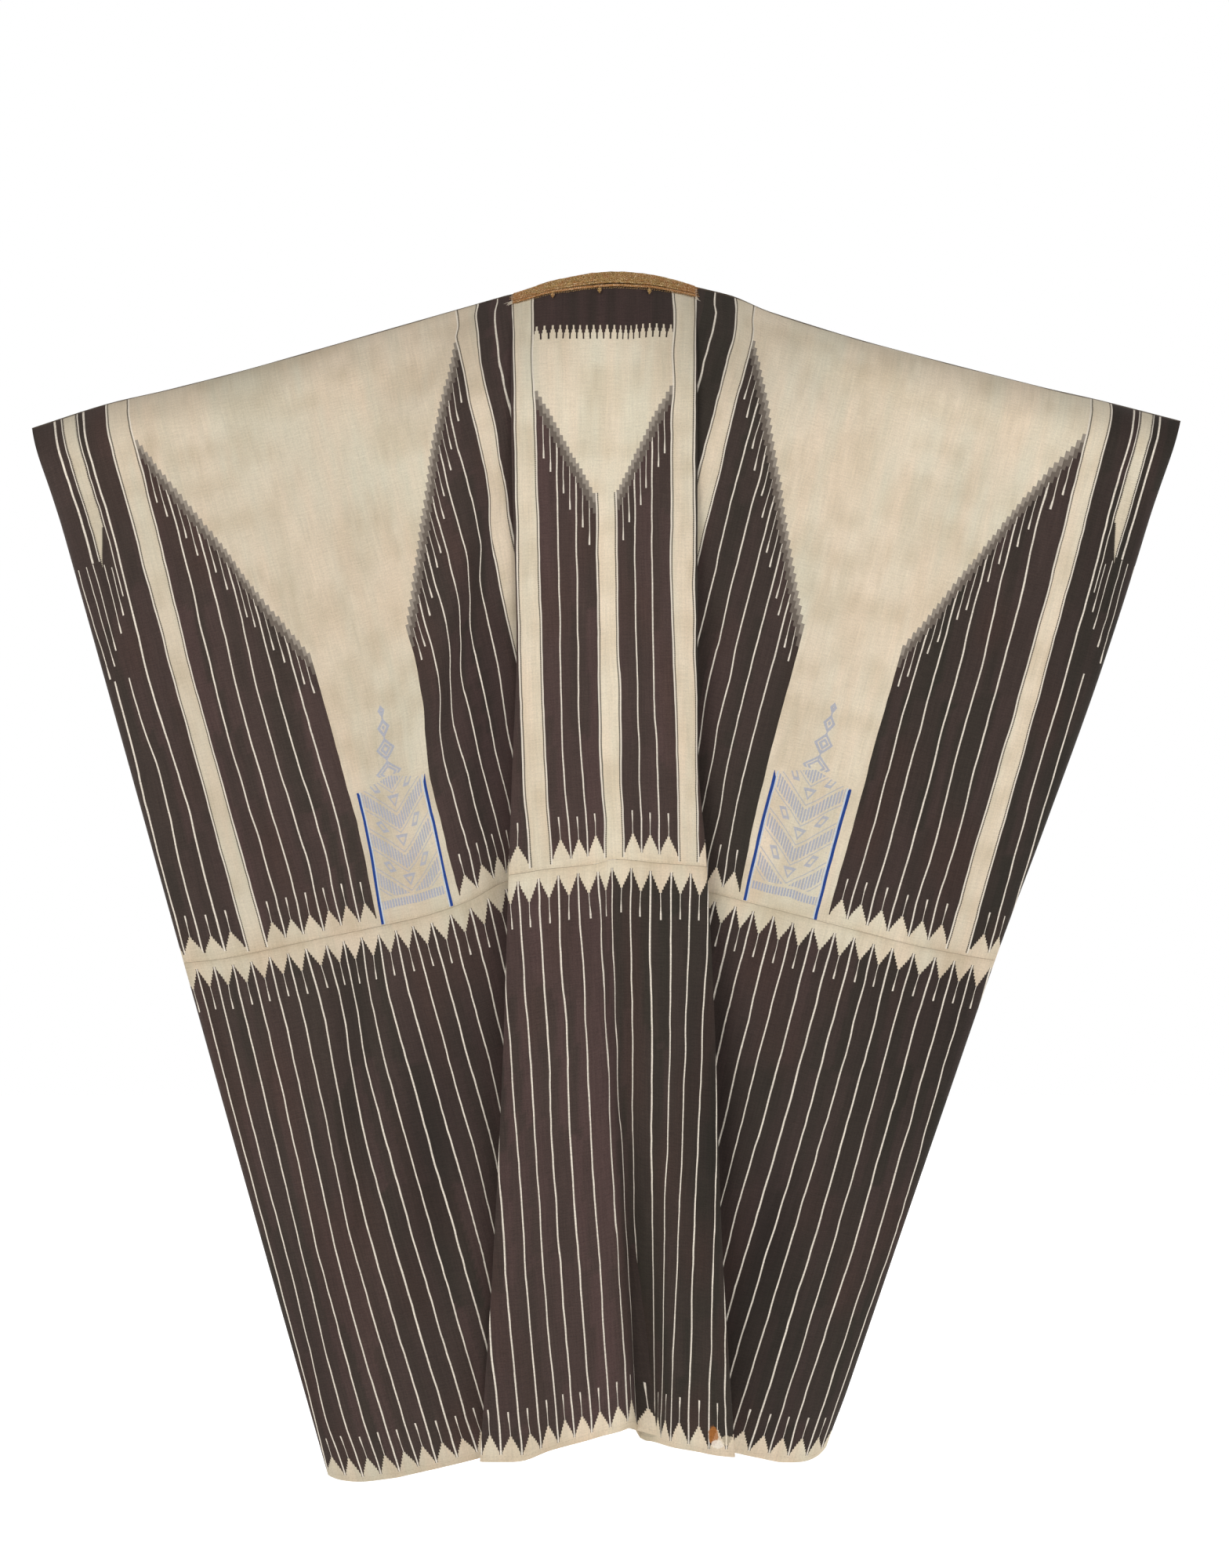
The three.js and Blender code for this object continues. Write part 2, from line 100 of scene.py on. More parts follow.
# Soft hanging folds of the wings: u and v of a point on the fold, its angle in the flat cloth from
# straight down, its half width and depth, and the v where it starts and ends.
WING_FOLDS = {
    (BACK, LEFT): [(300, 90, 24, 34, 7, 20, 420), (250, 700, -16, 46, -16, 540, 1330),
                   (430, 760, -4, 42, 8, 600, 1330)],
    (BACK, RIGHT): [(260, 720, -15, 44, -15, 560, 1330), (200, 90, 14, 30, 6, 20, 380),
                    (420, 820, -5, 44, 7, 620, 1330)],
    (FRONT, LEFT): [(260, 690, -15, 44, -15, 560, 1330), (420, 760, -4, 46, 8, 500, 1330)],
    (FRONT, RIGHT): [(250, 700, -14, 48, -14, 520, 1330), (430, 800, -6, 40, 9, 560, 1330)],
}
PLEAT_TOP, PLEAT_X, PLEAT_HEM_X, PLEAT_DEEP, PLEAT_STEEP, PLEAT_SLANT = 674, 0, -43, 44, 9, 26
BACK_RISE = [
    (0, [(-151, 5), (-108, 8), (-85, 11.3), (-50, 15), (-20, 16), (10, 14.5), (40, 10.5), (64, 7.5),
         (84, 3), (108, -0.5), (151, -2)]),
    (70, [(-151, 6), (-108, 6), (-60, 3), (-25, 0), (30, 0), (60, 1), (108, 0), (151, 0)]),
    (300, [(-151, 7), (-108, 8), (-60, 8), (0, 5), (60, 4), (108, 1), (151, 0)]),
    (690, [(-151, 16), (-105, 23), (-60, 26), (-31, 29.5), (-8, 30), (7, 25.5), (30, 22.5), (60, 19.8),
           (99, 13.5), (110, 12), (151, 7)]),
    (1330, [(-151, 5), (-127, 8), (-105, 13), (-85, 16), (-60, 18), (-44, 17), (-34, 38), (-27, 40),
            (-20, 37), (0, 32), (20, 26), (60, 15), (100, 1), (151, 0)]),
]
WING_LENGTH = [(0, 0), (690, 695), (1330, 1318)]
OVER_ARM = 20
WING_SAG = {
    LEFT: [(108, 20), (305, 13), (352, 3), (400, 0), (465, 3), (550, 9), (641, 15), (700, 24)],
    RIGHT: [(108, 0), (529, 0), (604, 3.5), (649, 7), (700, 12)],
}
SAG_BY_HEIGHT = [(0, 0), (250, 0.15), (690, 1), (1000, 0.5), (1330, 0)]
HEM_CORNER = {
    LEFT: [(620, 0), (660, 4), (688, 12), (702, 20)],
    RIGHT: [(556, 0), (585, 6), (600, 15), (608, 26)],
}
CORNER_FROM = 1225


def clamp01(t):
    return np.clip(t, 0.0, 1.0)


def mix(a, b, t):
    return a + (b - a) * t


def smooth(a, b, x):
    t = clamp01((x - a) / (b - a))
    return t * t * (3 - 2 * t)


def slopes(places, heights):
    """Slopes for a smooth curve through the rows of a table, without overshoot."""
    steps = np.diff(heights, axis=0) / np.diff(places).reshape((-1,) + (1,) * (heights.ndim - 1))
    out = np.zeros_like(heights)
    out[0], out[-1] = steps[0], steps[-1]
    before, after = steps[:-1], steps[1:]
    total = np.where(before * after > 0, before + after, 1.0)
    out[1:-1] = np.where(before * after > 0, 2 * before * after / total, 0.0)
    return out


def hermite(places, heights, x):
    tilt = slopes(places, heights)
    x = np.clip(x, places[0], places[-1])
    k = np.clip(np.searchsorted(places, x, side="right") - 1, 0, len(places) - 2)
    gap = places[k + 1] - places[k]
    t = (x - places[k]) / gap

    def at(rows, index):
        if rows.ndim == 1:
            return rows[index]
        index = np.broadcast_to(index, rows.shape[1:])
        return np.take_along_axis(rows, index[None], axis=0)[0]

    return ((2 * t**3 - 3 * t**2 + 1) * at(heights, k) + (t**3 - 2 * t**2 + t) * gap * at(tilt, k)
            + (-2 * t**3 + 3 * t**2) * at(heights, k + 1) + (t**3 - t**2) * gap * at(tilt, k + 1))


def linear(code, alpha=1.0):
    """A paint code such as d3c6ab as the linear colour that a shader wants."""
    parts = [int(code[i:i + 2], 16) / 255 for i in (0, 2, 4)]
    return tuple(c / 12.92 if c <= 0.04045 else ((c + 0.055) / 1.055) ** 2.4 for c in parts) + (alpha,)


def along(rows, x):
    pairs = np.array(rows, float)
    return hermite(pairs[:, 0], pairs[:, 1], np.asarray(x, float))


def back_rise(x, v):
    heights = np.stack([along(row, x) for _, row in BACK_RISE])
    return hermite(np.array([level for level, _ in BACK_RISE], float), heights, v)


def wing_drop(v):
    return along(WING_LENGTH, v) - OVER_ARM * (1 - np.exp(-v / 32))


def wing_rise(side, u, v):
    corner = along(HEM_CORNER[side], u) * smooth(CORNER_FROM, LENGTH, v)
    return along(WING_SAG[side], u) * along(SAG_BY_HEIGHT, v) + corner


def middle_drop(v):
    return 1.035 * v - 20 * (1 - np.exp(-v / 40))


def middle_pleat(x, v):
    down = clamp01((v - PLEAT_TOP) / (LENGTH - PLEAT_TOP))
    centre = mix(PLEAT_X, PLEAT_HEM_X, down)
    wide = np.where(x > centre, PLEAT_STEEP, PLEAT_SLANT)
    return PLEAT_DEEP * down**0.9 * np.exp(-(((x - centre) / wide) ** 2))


def edge_depth(face, v):
    round_over = np.sin(math.pi / 2 * clamp01(v / OVER_SHOULDER))
    return np.maximum(1, (along(MIDDLE_DEPTH[face], v) - 8) * round_over)


def middle_point(face, side, u, v):
    u, v = np.broadcast_arrays(np.asarray(u, float), np.asarray(v, float))
    x = side * u
    out = u / along(MIDDLE_HALF[face, side], v)
    edge = edge_depth(face, v)
    seam = along(SHOULDER_LINE[side], 0.0) * out * np.exp(-v / 90)
    if face == FRONT:
        chest = along(MIDDLE_DEPTH[face], v) * np.sin(math.pi / 2 * clamp01(v / (0.9 * OVER_SHOULDER)))
        return np.stack([x, -mix(np.maximum(1, chest), edge, out**2), seam - middle_drop(v)], -1)
    y = mix(along(MIDDLE_DEPTH[face], v), edge, out**2) - middle_pleat(x, v)
    return np.stack([x, y, back_rise(x, v) - middle_drop(v)], -1)


def wing_reach(side, x, v):
    slope = SHOULDER_SLOPE[side]

    def reach(drop):
        return (x - NECK_HALF + drop * math.sin(slope)) / math.cos(slope)

    level = reach(wing_drop(v))
    return reach(wing_drop(v) - wing_rise(side, NECK_HALF + level, v))


def wing_folds(face, side, u, v):
    total = 0 * u
    for at_u, at_v, angle, wide, deep, start, end in WING_FOLDS[face, side]:
        centre = at_u - math.tan(math.radians(angle)) * (v - at_v)
        fade = smooth(start, start + 120, v) * (1 - smooth(end - 60, end + 200, v))
        total = total + deep * fade * np.exp(-(((u - centre) / wide) ** 2))
    return total


def wing_point(face, side, u, v):
    u, v = np.broadcast_arrays(np.asarray(u, float), np.asarray(v, float))
    slope = SHOULDER_SLOPE[side]
    reach = u - NECK_HALF
    drop = wing_drop(v) - wing_rise(side, u, v)
    x = NECK_HALF + reach * math.cos(slope) - drop * math.sin(slope)
    z = (along(SHOULDER_LINE[side], reach) * np.exp(-v / 150) - reach * math.sin(slope)
         - drop * math.cos(slope))
    edge = along(MIDDLE_HALF[face, side], v)
    arm = along(ARM_DEPTH, v)
    fold = along(SIDE_FOLD[side], v)
    open_hand = 0.55 * (1 - smooth(0.2 * HAND_SLIT, HAND_SLIT, v))
    near = np.sqrt(np.maximum(0, 1 - clamp01(reach / fold) ** 5))
    body = near * np.exp(-((np.maximum(0, x - edge) / mix(165, 105, v / LENGTH)) ** 2))
    over = np.sin(math.pi / 2 * clamp01(v / 70))
    at_arm = arm * mix(near, 1, open_hand) * over
    at_body = edge_depth(face, v) - along(WING_UNDER, v)
    folds = wing_folds(face, side, u, v) * np.minimum(1, 3 * (1 - reach / fold)) * over
    return np.stack([side * x, face * np.maximum(0.8, mix(at_arm, at_body, body) + folds), z], -1)


# ---------------------------------------------------------------- one row of cloth

# Columns across the middle, its rounded edge, each layer of the tuck, where the wing comes out, the wing.
BACK_CELLS = (20, 5, 7, 7, 5, 79)
FRONT_CELLS = (11, 3, 4, 4, 3, 45)
# Points along a row before it is cut into columns, the cloth in a turn of the tuck, the reach of the
# running mean, and of the finer columns beside the tuck.
MIDDLE_POINTS, WING_POINTS = 60, 260
TURN = 0.6
ROUND = 5.0
SOFT_NEAR = 14.0


def half_row(face, side, v, cells):
    """Cloth u and place of one row from the centre to the side fold, with its tuck folded in."""
    edge = float(along(MIDDLE_HALF[face, side], v))
    wing_u = NECK_HALF + float(wing_reach(side, edge + float(along(WING_START, v)), v))
    layer = (wing_u - edge) / 2
    fold_u = NECK_HALF + float(along(SIDE_FOLD[side], v))
    start = FRONT_EDGE if face == FRONT else 0.0

    across = np.linspace(start, edge, MIDDLE_POINTS)
    cut = NECK_DROP * np.maximum(0, 1 - (across / NECK_HALF) ** 2) * (1 - min(1, v / UPPER_DEEP))
    middle = middle_point(face, side, across, v + (cut if face == FRONT else 0))
    a = middle[-1]
    b = wing_point(face, side, wing_u, v)
    apart = math.hypot(b[0] - a[0], b[1] - a[1]) / 2
    folded = float(smooth(12, 90, v))
    deep = math.sqrt(max(0, layer**2 - apart**2)) * folded
    tilt = TUCK_TILT[face, side]
    inner = np.array([(a[0] + b[0]) / 2 - side * deep * math.cos(tilt),
                      (a[1] + b[1]) / 2 - face * deep * math.sin(tilt),
                      wing_point(face, side, edge + layer, v)[2]])
    roll = np.array([0, -face * FOLD_ROLL * folded, 0])
    wing_across = np.linspace(wing_u, fold_u, WING_POINTS)
    wing = wing_point(face, side, wing_across, v)
    wing[-1, 1] *= 0 if v >= HAND_SLIT else 1

    places = np.concatenate([middle, [a + roll], [inner], [inner + roll], [b], wing[1:]])
    tuck = [edge + TURN, edge + layer, edge + layer + TURN, wing_u]
    cloth = np.concatenate([across, tuck, wing_across[1:]])
    length = np.concatenate([[0], np.cumsum(np.linalg.norm(np.diff(places, axis=0), axis=1) + 1e-6)])
    n_mid = len(middle)
    at_edge = (length[n_mid - 1] + length[n_mid]) / 2
    at_inner = (length[n_mid + 1] + length[n_mid + 2]) / 2
    at_wing = length[n_mid + 3]

    near = min(SOFT_NEAR, 0.45 * (at_edge - length[0]))
    knots = [length[0], at_edge - near, at_edge, at_inner, at_wing, at_wing + SOFT_NEAR, length[-1]]
    stops = [np.array([knots[0]])]
    for i, count in enumerate(cells):
        t = np.arange(1, count + 1) / count
        if i == 1:
            t = np.sin(math.pi / 2 * t)
        elif i in (2, 3):
            t = (1 - np.cos(math.pi * t)) / 2
        elif i == 4:
            t = 1 - np.cos(math.pi / 2 * t)
        elif i == 5:
            t = mix(t, np.sin(math.pi / 2 * t), 0.18)
        stops.append(mix(knots[i], knots[i + 1], t))
    stops = np.concatenate(stops)

    # A running mean rounds the corners of the folded row.
    sums = np.concatenate([[np.zeros(3)], np.cumsum((places[1:] + places[:-1]) / 2
                                                     * np.diff(length)[:, None], axis=0)])
    window = np.minimum(ROUND, np.minimum(stops - length[0], length[-1] - stops)) + 1e-4
    low, high = np.clip(stops - window, 0, length[-1]), np.clip(stops + window, 0, length[-1])

    def total(s):
        k = np.clip(np.searchsorted(length, s, side="right") - 1, 0, len(length) - 2)
        part = (s - length[k])[:, None]
        ahead = places[k] + (places[k + 1] - places[k]) * (part / (length[k + 1] - length[k])[:, None] / 2)
        return sums[k] + ahead * part

    rounded = (total(high) - total(low)) / (high - low)[:, None]
    rounded[0], rounded[-1] = places[0], places[-1]
    return np.interp(stops, length, cloth), rounded, fold_u


# ---------------------------------------------------------------- where the woven threads lie

# Each row of a thread table is the thread's place p in the design, then (v, u) of points along it.
UPPER_LEFT = [
    (12, (0, 8), (260, 9), (350, 8.2), (450, 7.5), (500, 6.5), (550, 5.5), (600, 3.8), (650, 0), (690, -0.3)),
    (35, (0, 31), (230, 31.5), (300, 31.1), (400, 30), (500, 29.5), (550, 26.5), (600, 23.2), (650, 19.4),
     (690, 17.6)),
    (58, (0, 55), (186, 54.2), (250, 53), (300, 52), (350, 51), (450, 49.7), (500, 48.6), (550, 47),
     (600, 44.2), (650, 39.8), (690, 36.5)),
    (81, (0, 81.5), (100, 82), (150, 79.5), (175, 78), (250, 75.5), (300, 73.5), (400, 71.3), (450, 70),
     (500, 68.2), (550, 65.8), (600, 64.2), (650, 60.6), (690, 58.6)),
    (109, (0, 110), (25, 108.7), (50, 107.5), (75, 105.8), (100, 104.7), (150, 102.5), (200, 101.7),
     (300, 99.7), (400, 98), (500, 95.7), (550, 93.5), (600, 91.7), (650, 87), (690, 84.2)),
    (127.5, (0, 119), (100, 125), (300, 128), (450, 118), (560, 111), (600, 110), (650, 110), (690, 109)),
    (140, (0, 126), (14, 128.8), (29, 134), (54, 139), (79, 142.5), (108, 146.8), (133, 147.9),
     (169, 149.3), (300, 158), (690, 165)),
    (161, (0, 149.5), (7, 150.4), (25, 155.5), (54, 159.4), (72, 162.5), (100, 166), (126, 167.6),
     (150, 168), (180, 169.8), (216, 175.5), (250, 178), (288, 184), (324, 187), (450, 200), (690, 215)),
    (188, (0, 178), (25, 179.3), (36, 180.6), (54, 187), (108, 188.5), (144, 192), (180, 193.9),
     (216, 195.4), (250, 199), (288, 209.7), (324, 213.5), (396, 218.5), (432, 220.6), (690, 245)),
    (211.7, (0, 203), (100, 211), (150, 217), (200, 218.3), (250, 218.3), (300, 222.9), (350, 238.2),
     (400, 240.3), (450, 243.8), (530, 254), (690, 268)),
    (235.3, (0, 227), (100, 234), (200, 239.3), (250, 242.1), (300, 241.6), (350, 250.3), (400, 263.8),
     (450, 265.7), (500, 269), (540, 272.8), (600, 274.5), (690, 288)),
    (259, (0, 252), (200, 261.5), (300, 263.2), (350, 264.3), (400, 275.2), (450, 288.3), (500, 289.4),
     (550, 292.5), (600, 294), (645, 295), (690, 302)),
    (282.7, (0, 277), (250, 286), (350, 285.9), (400, 289.2), (450, 302.3), (500, 311.3), (550, 311.1),
     (600, 312.7), (650, 313.3), (690, 315)),
    (306.3, (0, 303), (350, 309.8), (400, 310.3), (450, 315.4), (500, 329.6), (550, 334.3), (600, 333.7),
     (690, 336)),
    (330, (0, 330), (372, 333), (400, 333.5), (450, 337), (500, 348), (550, 355.5), (600, 357), (690, 359)),
    (449, (0, 449), (400, 451), (550, 451.5), (600, 453.5), (650, 458), (690, 460.5)),
    (472.2, (0, 471), (350, 474), (500, 474.5), (550, 473.8), (600, 475.2), (650, 479.5), (690, 482)),
    (495.3, (0, 493), (300, 496.9), (400, 499.3), (500, 499.2), (550, 497.5), (600, 498.3), (650, 501.9),
     (690, 504)),
    (518.5, (0, 512), (250, 514.7), (350, 519.1), (400, 521.8), (500, 522.5), (600, 520.9), (650, 523.4),
     (690, 526)),
    (541.7, (0, 535), (200, 537.6), (300, 540), (400, 545), (500, 546), (600, 545), (650, 547), (690, 549)),
    (564.8, (0, 558), (150, 560.6), (250, 561.7), (300, 566.2), (350, 567.7), (450, 569.9), (600, 568.5),
     (690, 570)),
    (588, (0, 578), (60, 580), (150, 582), (350, 590), (600, 593), (690, 594)),
    (615, (0, 607.5), (60, 609), (350, 614), (600, 617), (690, 618)),
    (640, (0, 635), (60, 636.1), (150, 636), (250, 638.5), (350, 642.4), (450, 640), (500, 639),
     (550, 641.2), (600, 643), (690, 644)),
    (665, (0, 663), (200, 661), (350, 665), (400, 664), (450, 661.5), (500, 663.2), (550, 666.7),
     (600, 669), (690, 670)),
    (686, (0, 686), (350, 683), (400, 683.6), (500, 689.2), (600, 691.8), (690, 692.5)),
    (710, (0, 712), (690, 717)),
]
UPPER_RIGHT = [
    (12, (0, 16), (265, 14.6), (350, 15.5), (400, 16.5), (450, 17.5), (500, 19.5), (550, 20.5), (600, 20.8),
     (650, 23), (690, 23.8)),
    (35, (0, 34), (230, 34), (300, 35.1), (400, 36.3), (500, 38.2), (600, 40.8), (650, 42.2), (690, 43)),
    (58, (0, 56), (190, 54.5), (400, 54.9), (450, 55.8), (500, 57.1), (550, 59.5), (600, 60.8), (690, 63.2)),
    (81, (0, 78), (50, 80), (75, 79.3), (100, 78.5), (150, 78), (175, 76.3), (250, 75.7), (350, 75.5),
     (400, 77), (450, 78), (500, 80.5), (550, 82.5), (650, 84.3), (690, 85.5)),
    (109, (0, 109), (25, 108.2), (50, 107.5), (75, 105.7), (150, 104.5), (200, 103.7), (350, 103.7),
     (450, 104.5), (500, 106.5), (600, 106.5), (690, 107.5)),
    (127.5, (0, 121), (100, 127), (690, 128)),
    (140, (0, 131), (7, 131.7), (29, 134.2), (40, 138.5), (72, 140), (140, 140.3), (300, 150), (690, 160)),
    (161, (0, 155), (29, 160.5), (72, 164.8), (180, 164.8), (245, 166), (400, 180), (690, 205)),
    (188, (0, 181), (29, 182), (47, 185.7), (72, 187.5), (180, 187.2), (223, 190), (288, 190.6),
     (345, 193), (450, 205), (690, 235)),
    (211.7, (0, 207), (150, 210.3), (200, 209.8), (300, 211.5), (350, 213.7), (400, 214.1), (500, 225),
     (690, 255)),
    (235.3, (0, 232), (200, 234), (350, 235.5), (400, 238), (450, 238.7), (509, 244.7), (600, 258),
     (690, 272)),
    (259, (0, 256), (300, 257.2), (400, 258.3), (450, 260.8), (500, 261.5), (550, 267.4), (600, 269.5),
     (690, 285)),
    (282.7, (0, 280), (350, 280.5), (450, 281.3), (500, 282.6), (550, 284.7), (600, 289.9), (650, 291),
     (690, 298)),
    (306.3, (0, 303.5), (400, 304.3), (550, 305), (600, 307.5), (650, 312.2), (690, 316.5)),
    (330, (0, 328), (372, 329), (550, 329.5), (600, 331), (650, 334), (690, 337.5)),
    (449, (0, 447), (372, 446), (550, 445), (690, 444)),
    (472.2, (0, 470), (350, 470.5), (400, 469.3), (450, 468.1), (600, 468.2), (650, 466.6), (690, 467)),
    (495.3, (0, 492), (350, 492.9), (450, 492), (600, 491.8), (650, 490.2), (690, 491)),
    (518.5, (0, 514), (300, 516), (350, 518), (450, 517.7), (550, 519), (600, 517.4), (650, 515.7),
     (690, 517)),
    (541.7, (0, 537), (250, 538.6), (350, 543), (450, 542), (550, 543.7), (650, 541.2), (690, 542)),
    (564.8, (0, 561), (200, 563), (300, 566.8), (450, 566), (550, 567.7), (650, 565.1), (690, 566)),
    (588, (0, 590), (60, 592), (300, 595), (600, 590), (690, 589)),
    (615, (0, 615), (60, 617), (300, 618), (600, 617), (690, 616)),
    (640, (0, 642.5), (300, 642.8), (350, 643), (450, 639.7), (550, 640), (690, 641)),
    (665, (0, 668), (200, 666), (350, 663), (450, 660.3), (500, 659.2), (600, 658), (690, 657.5)),
    (686, (0, 689), (690, 682)),
    (710, (0, 713), (690, 706)),
]
# In the lower width the threads are its pinstripes, one to a pitch, counted from the centre back.
LOWER_PITCH = 22.8
LOWER_THREADS = [
    (-29, (690, -672), (1315, -642)),
    (-28, (690, -649), (860, -646), (1315, -622)),
    (-27, (690, -626), (860, -624), (950, -623), (1050, -619.5), (1150, -612), (1250, -605.4), (1315, -602)),
    (-26, (690, -603.6), (860, -602.5), (1050, -599.6), (1150, -594.8), (1250, -590.6), (1315, -586)),
    (-25, (690, -579.6), (950, -576), (1050, -574.8), (1150, -570), (1250, -565), (1315, -563)),
    (-24, (690, -553.5), (950, -552), (1050, -550), (1150, -546.8), (1250, -543.5), (1315, -540.6)),
    (-23, (690, -528), (860, -530), (950, -528.4), (1050, -526.6), (1150, -523), (1250, -520),
     (1315, -516.6)),
    (-22, (690, -504.7), (860, -506.6), (950, -504), (1050, -501.6), (1150, -497.4), (1315, -492)),
    (-21, (690, -481), (860, -481.6), (950, -480.4), (1050, -478), (1150, -474.3), (1315, -471)),
    (-20, (690, -456.3), (860, -456.3), (950, -455.4), (1050, -453.4), (1150, -450.6), (1315, -452)),
    (-19, (690, -430.4), (860, -431.6), (1050, -429.5), (1315, -434)),
    (-18, (690, -405.8), (950, -407.7), (1150, -413), (1315, -420)),
    (-17, (690, -381.5), (860, -385.5), (1050, -393), (1315, -404)),
    (-16, (690, -357.4), (860, -360), (1050, -373), (1315, -388)),
    (-15, (690, -336.4), (860, -342), (1315, -372)),
    (-9, (690, -191), (1315, -163)),
    (-8, (690, -167), (900, -151), (1100, -139), (1250, -138.5), (1315, -141)),
    (-7, (690, -143), (850, -132), (900, -128.75), (1000, -129), (1050, -127.5), (1150, -125.25),
     (1200, -123.75), (1315, -120)),
    (-6, (705, -119.5), (787, -117.5), (850, -113.75), (925, -110.5), (1000, -107), (1050, -104.5),
     (1150, -100.75), (1200, -99.5), (1250, -98), (1314, -96.25)),
    (-5, (705, -98.75), (775, -96.25), (850, -93.75), (912, -92), (1000, -89.4), (1100, -85), (1200, -80),
     (1312, -75.5)),
    (-4, (705, -77), (762, -75.75), (825, -76.25), (912, -75), (1000, -72.7), (1050, -70), (1087, -69.5),
     (1200, -68), (1302, -65.75)),
    (-3, (705, -52.5), (750, -52.5), (900, -55), (1000, -55.1), (1100, -56.25), (1200, -58), (1297, -59.25)),
    (-2, (705, -30.75), (750, -30), (850, -32.5), (925, -33), (1000, -33.4), (1100, -35.5), (1150, -38),
     (1200, -40.5), (1250, -43.25), (1297, -45.25)),
    (-1, (705, -8.75), (750, -9), (800, -10), (850, -12), (900, -13.5), (962, -15), (1000, -19),
     (1100, -24), (1250, -33), (1317, -36)),
    (0, (705, 6.25), (750, 3.75), (800, 1.25), (850, -0.75), (912, -4.5), (1000, -8.25), (1050, -11.25),
     (1100, -14.25), (1150, -17), (1200, -20.75), (1250, -24), (1318, -27)),
    (1, (705, 29.5), (750, 27.5), (800, 23.75), (850, 21.75), (912, 18.75), (1000, 14.25), (1050, 11.25),
     (1100, 7.5), (1150, 4.25), (1200, 1.25), (1250, -2.5), (1317, -7)),
    (2, (705, 51.75), (800, 48.75), (862, 43.25), (1000, 38), (1050, 35), (1100, 31.25), (1150, 27.5),
     (1200, 23.75), (1250, 19.5), (1317, 14.5)),
    (3, (705, 74.5), (800, 69.25), (862, 64.5), (1000, 58.75), (1050, 55.75), (1100, 52), (1150, 48),
     (1200, 44.25), (1250, 40), (1317, 34.5)),
    (4, (705, 98.25), (787, 92.5), (850, 87.5), (912, 82.5), (1000, 77.5), (1050, 74.5), (1100, 71.25),
     (1150, 67.5), (1200, 63.75), (1250, 58.75), (1320, 52)),
    (5, (705, 118), (755, 114.5), (825, 112), (862, 108.75), (912, 105), (1000, 98), (1050, 94.25),
     (1100, 91.25), (1150, 87.5), (1200, 83.5), (1250, 78.75), (1317, 72.5)),
    (6, (705, 143), (850, 131), (950, 121.5), (1000, 121.1), (1050, 117.5), (1100, 114), (1150, 110.5),
     (1200, 106.25), (1250, 101.25), (1315, 94.5)),
    (7, (705, 166), (950, 146), (1100, 138), (1212, 128.75), (1255, 123.75), (1319, 117.5)),
    (8, (705, 190), (1100, 162), (1319, 141)),
    (14, (705, 328.5), (860, 338), (1315, 375)),
    (15, (705, 351), (780, 353.6), (860, 358), (1050, 372), (1315, 392)),
    (16, (705, 374.7), (780, 377.8), (860, 378.5), (950, 384), (1315, 410)),
    (17, (705, 399.4), (860, 401.4), (950, 402), (1050, 408), (1315, 427)),
    (18, (705, 421), (780, 423), (950, 424), (1150, 433), (1315, 443)),
    (19, (705, 442), (780, 447), (1050, 447.8), (1150, 451), (1315, 459)),
    (20, (705, 464), (780, 471.5), (950, 472.8), (1150, 473), (1315, 477)),
    (21, (705, 484), (780, 494), (860, 498), (950, 499), (1150, 498.5), (1315, 497)),
    (22, (705, 506), (780, 513), (860, 521), (1050, 523), (1315, 519.4)),
    (23, (705, 526), (780, 529.5), (860, 539.6), (950, 546), (1050, 546.7), (1315, 543)),
    (24, (705, 550.6), (780, 552.5), (860, 560), (950, 568.8), (1050, 571.8), (1315, 568.3)),
    (25, (705, 572.8), (780, 576), (860, 580.5), (950, 588.4), (1050, 594.6), (1250, 593.4), (1315, 590.7)),
    (26, (705, 595), (860, 602.7), (950, 608.5), (1050, 615), (1150, 617.7), (1315, 614.3)),
    (27, (705, 617.6), (860, 624.6), (950, 629.4), (1050, 636.7), (1250, 640), (1315, 637)),
    (28, (705, 640), (950, 651), (1050, 656), (1250, 662.7), (1315, 659)),
    (29, (705, 662.5), (950, 672.5), (1050, 674.4), (1150, 678.5), (1250, 683.7), (1315, 679)),
    (30, (705, 683.5), (860, 688), (1150, 694), (1315, 699)),
    (31, (705, 706), (1315, 722)),
]


def thread_places(threads):
    """The design's p of each thread, in order, and a smooth curve of u by v for each."""
    threads = sorted(threads, key=lambda thread: thread[0])
    return np.array([thread[0] for thread in threads], float), [thread[1:] for thread in threads]


UPPER_P, UPPER_CURVES = thread_places(
    [(-p, *[(v, -u) for v, u in points]) for p, *points in UPPER_RIGHT] + [tuple(row) for row in UPPER_LEFT])
LOWER_P, LOWER_CURVES = thread_places([(k * LOWER_PITCH, *points) for k, *points in LOWER_THREADS])


def design_across(lower, u, v):
    """p of the design at signed cloth places u in the row v of the back."""
    places, curves = (LOWER_P, LOWER_CURVES) if lower else (UPPER_P, UPPER_CURVES)
    at = np.array([float(along(curve, v)) for curve in curves])
    assert np.all(np.diff(at) > 1), (v, at)
    inside = np.interp(u, at, places)
    beyond = np.where(u > at[-1], u - at[-1], np.where(u < at[0], u - at[0], 0))
    return inside + beyond


# ---------------------------------------------------------------- small shapes in the hanging cloth

FRONT_SHIFT = 2000.0
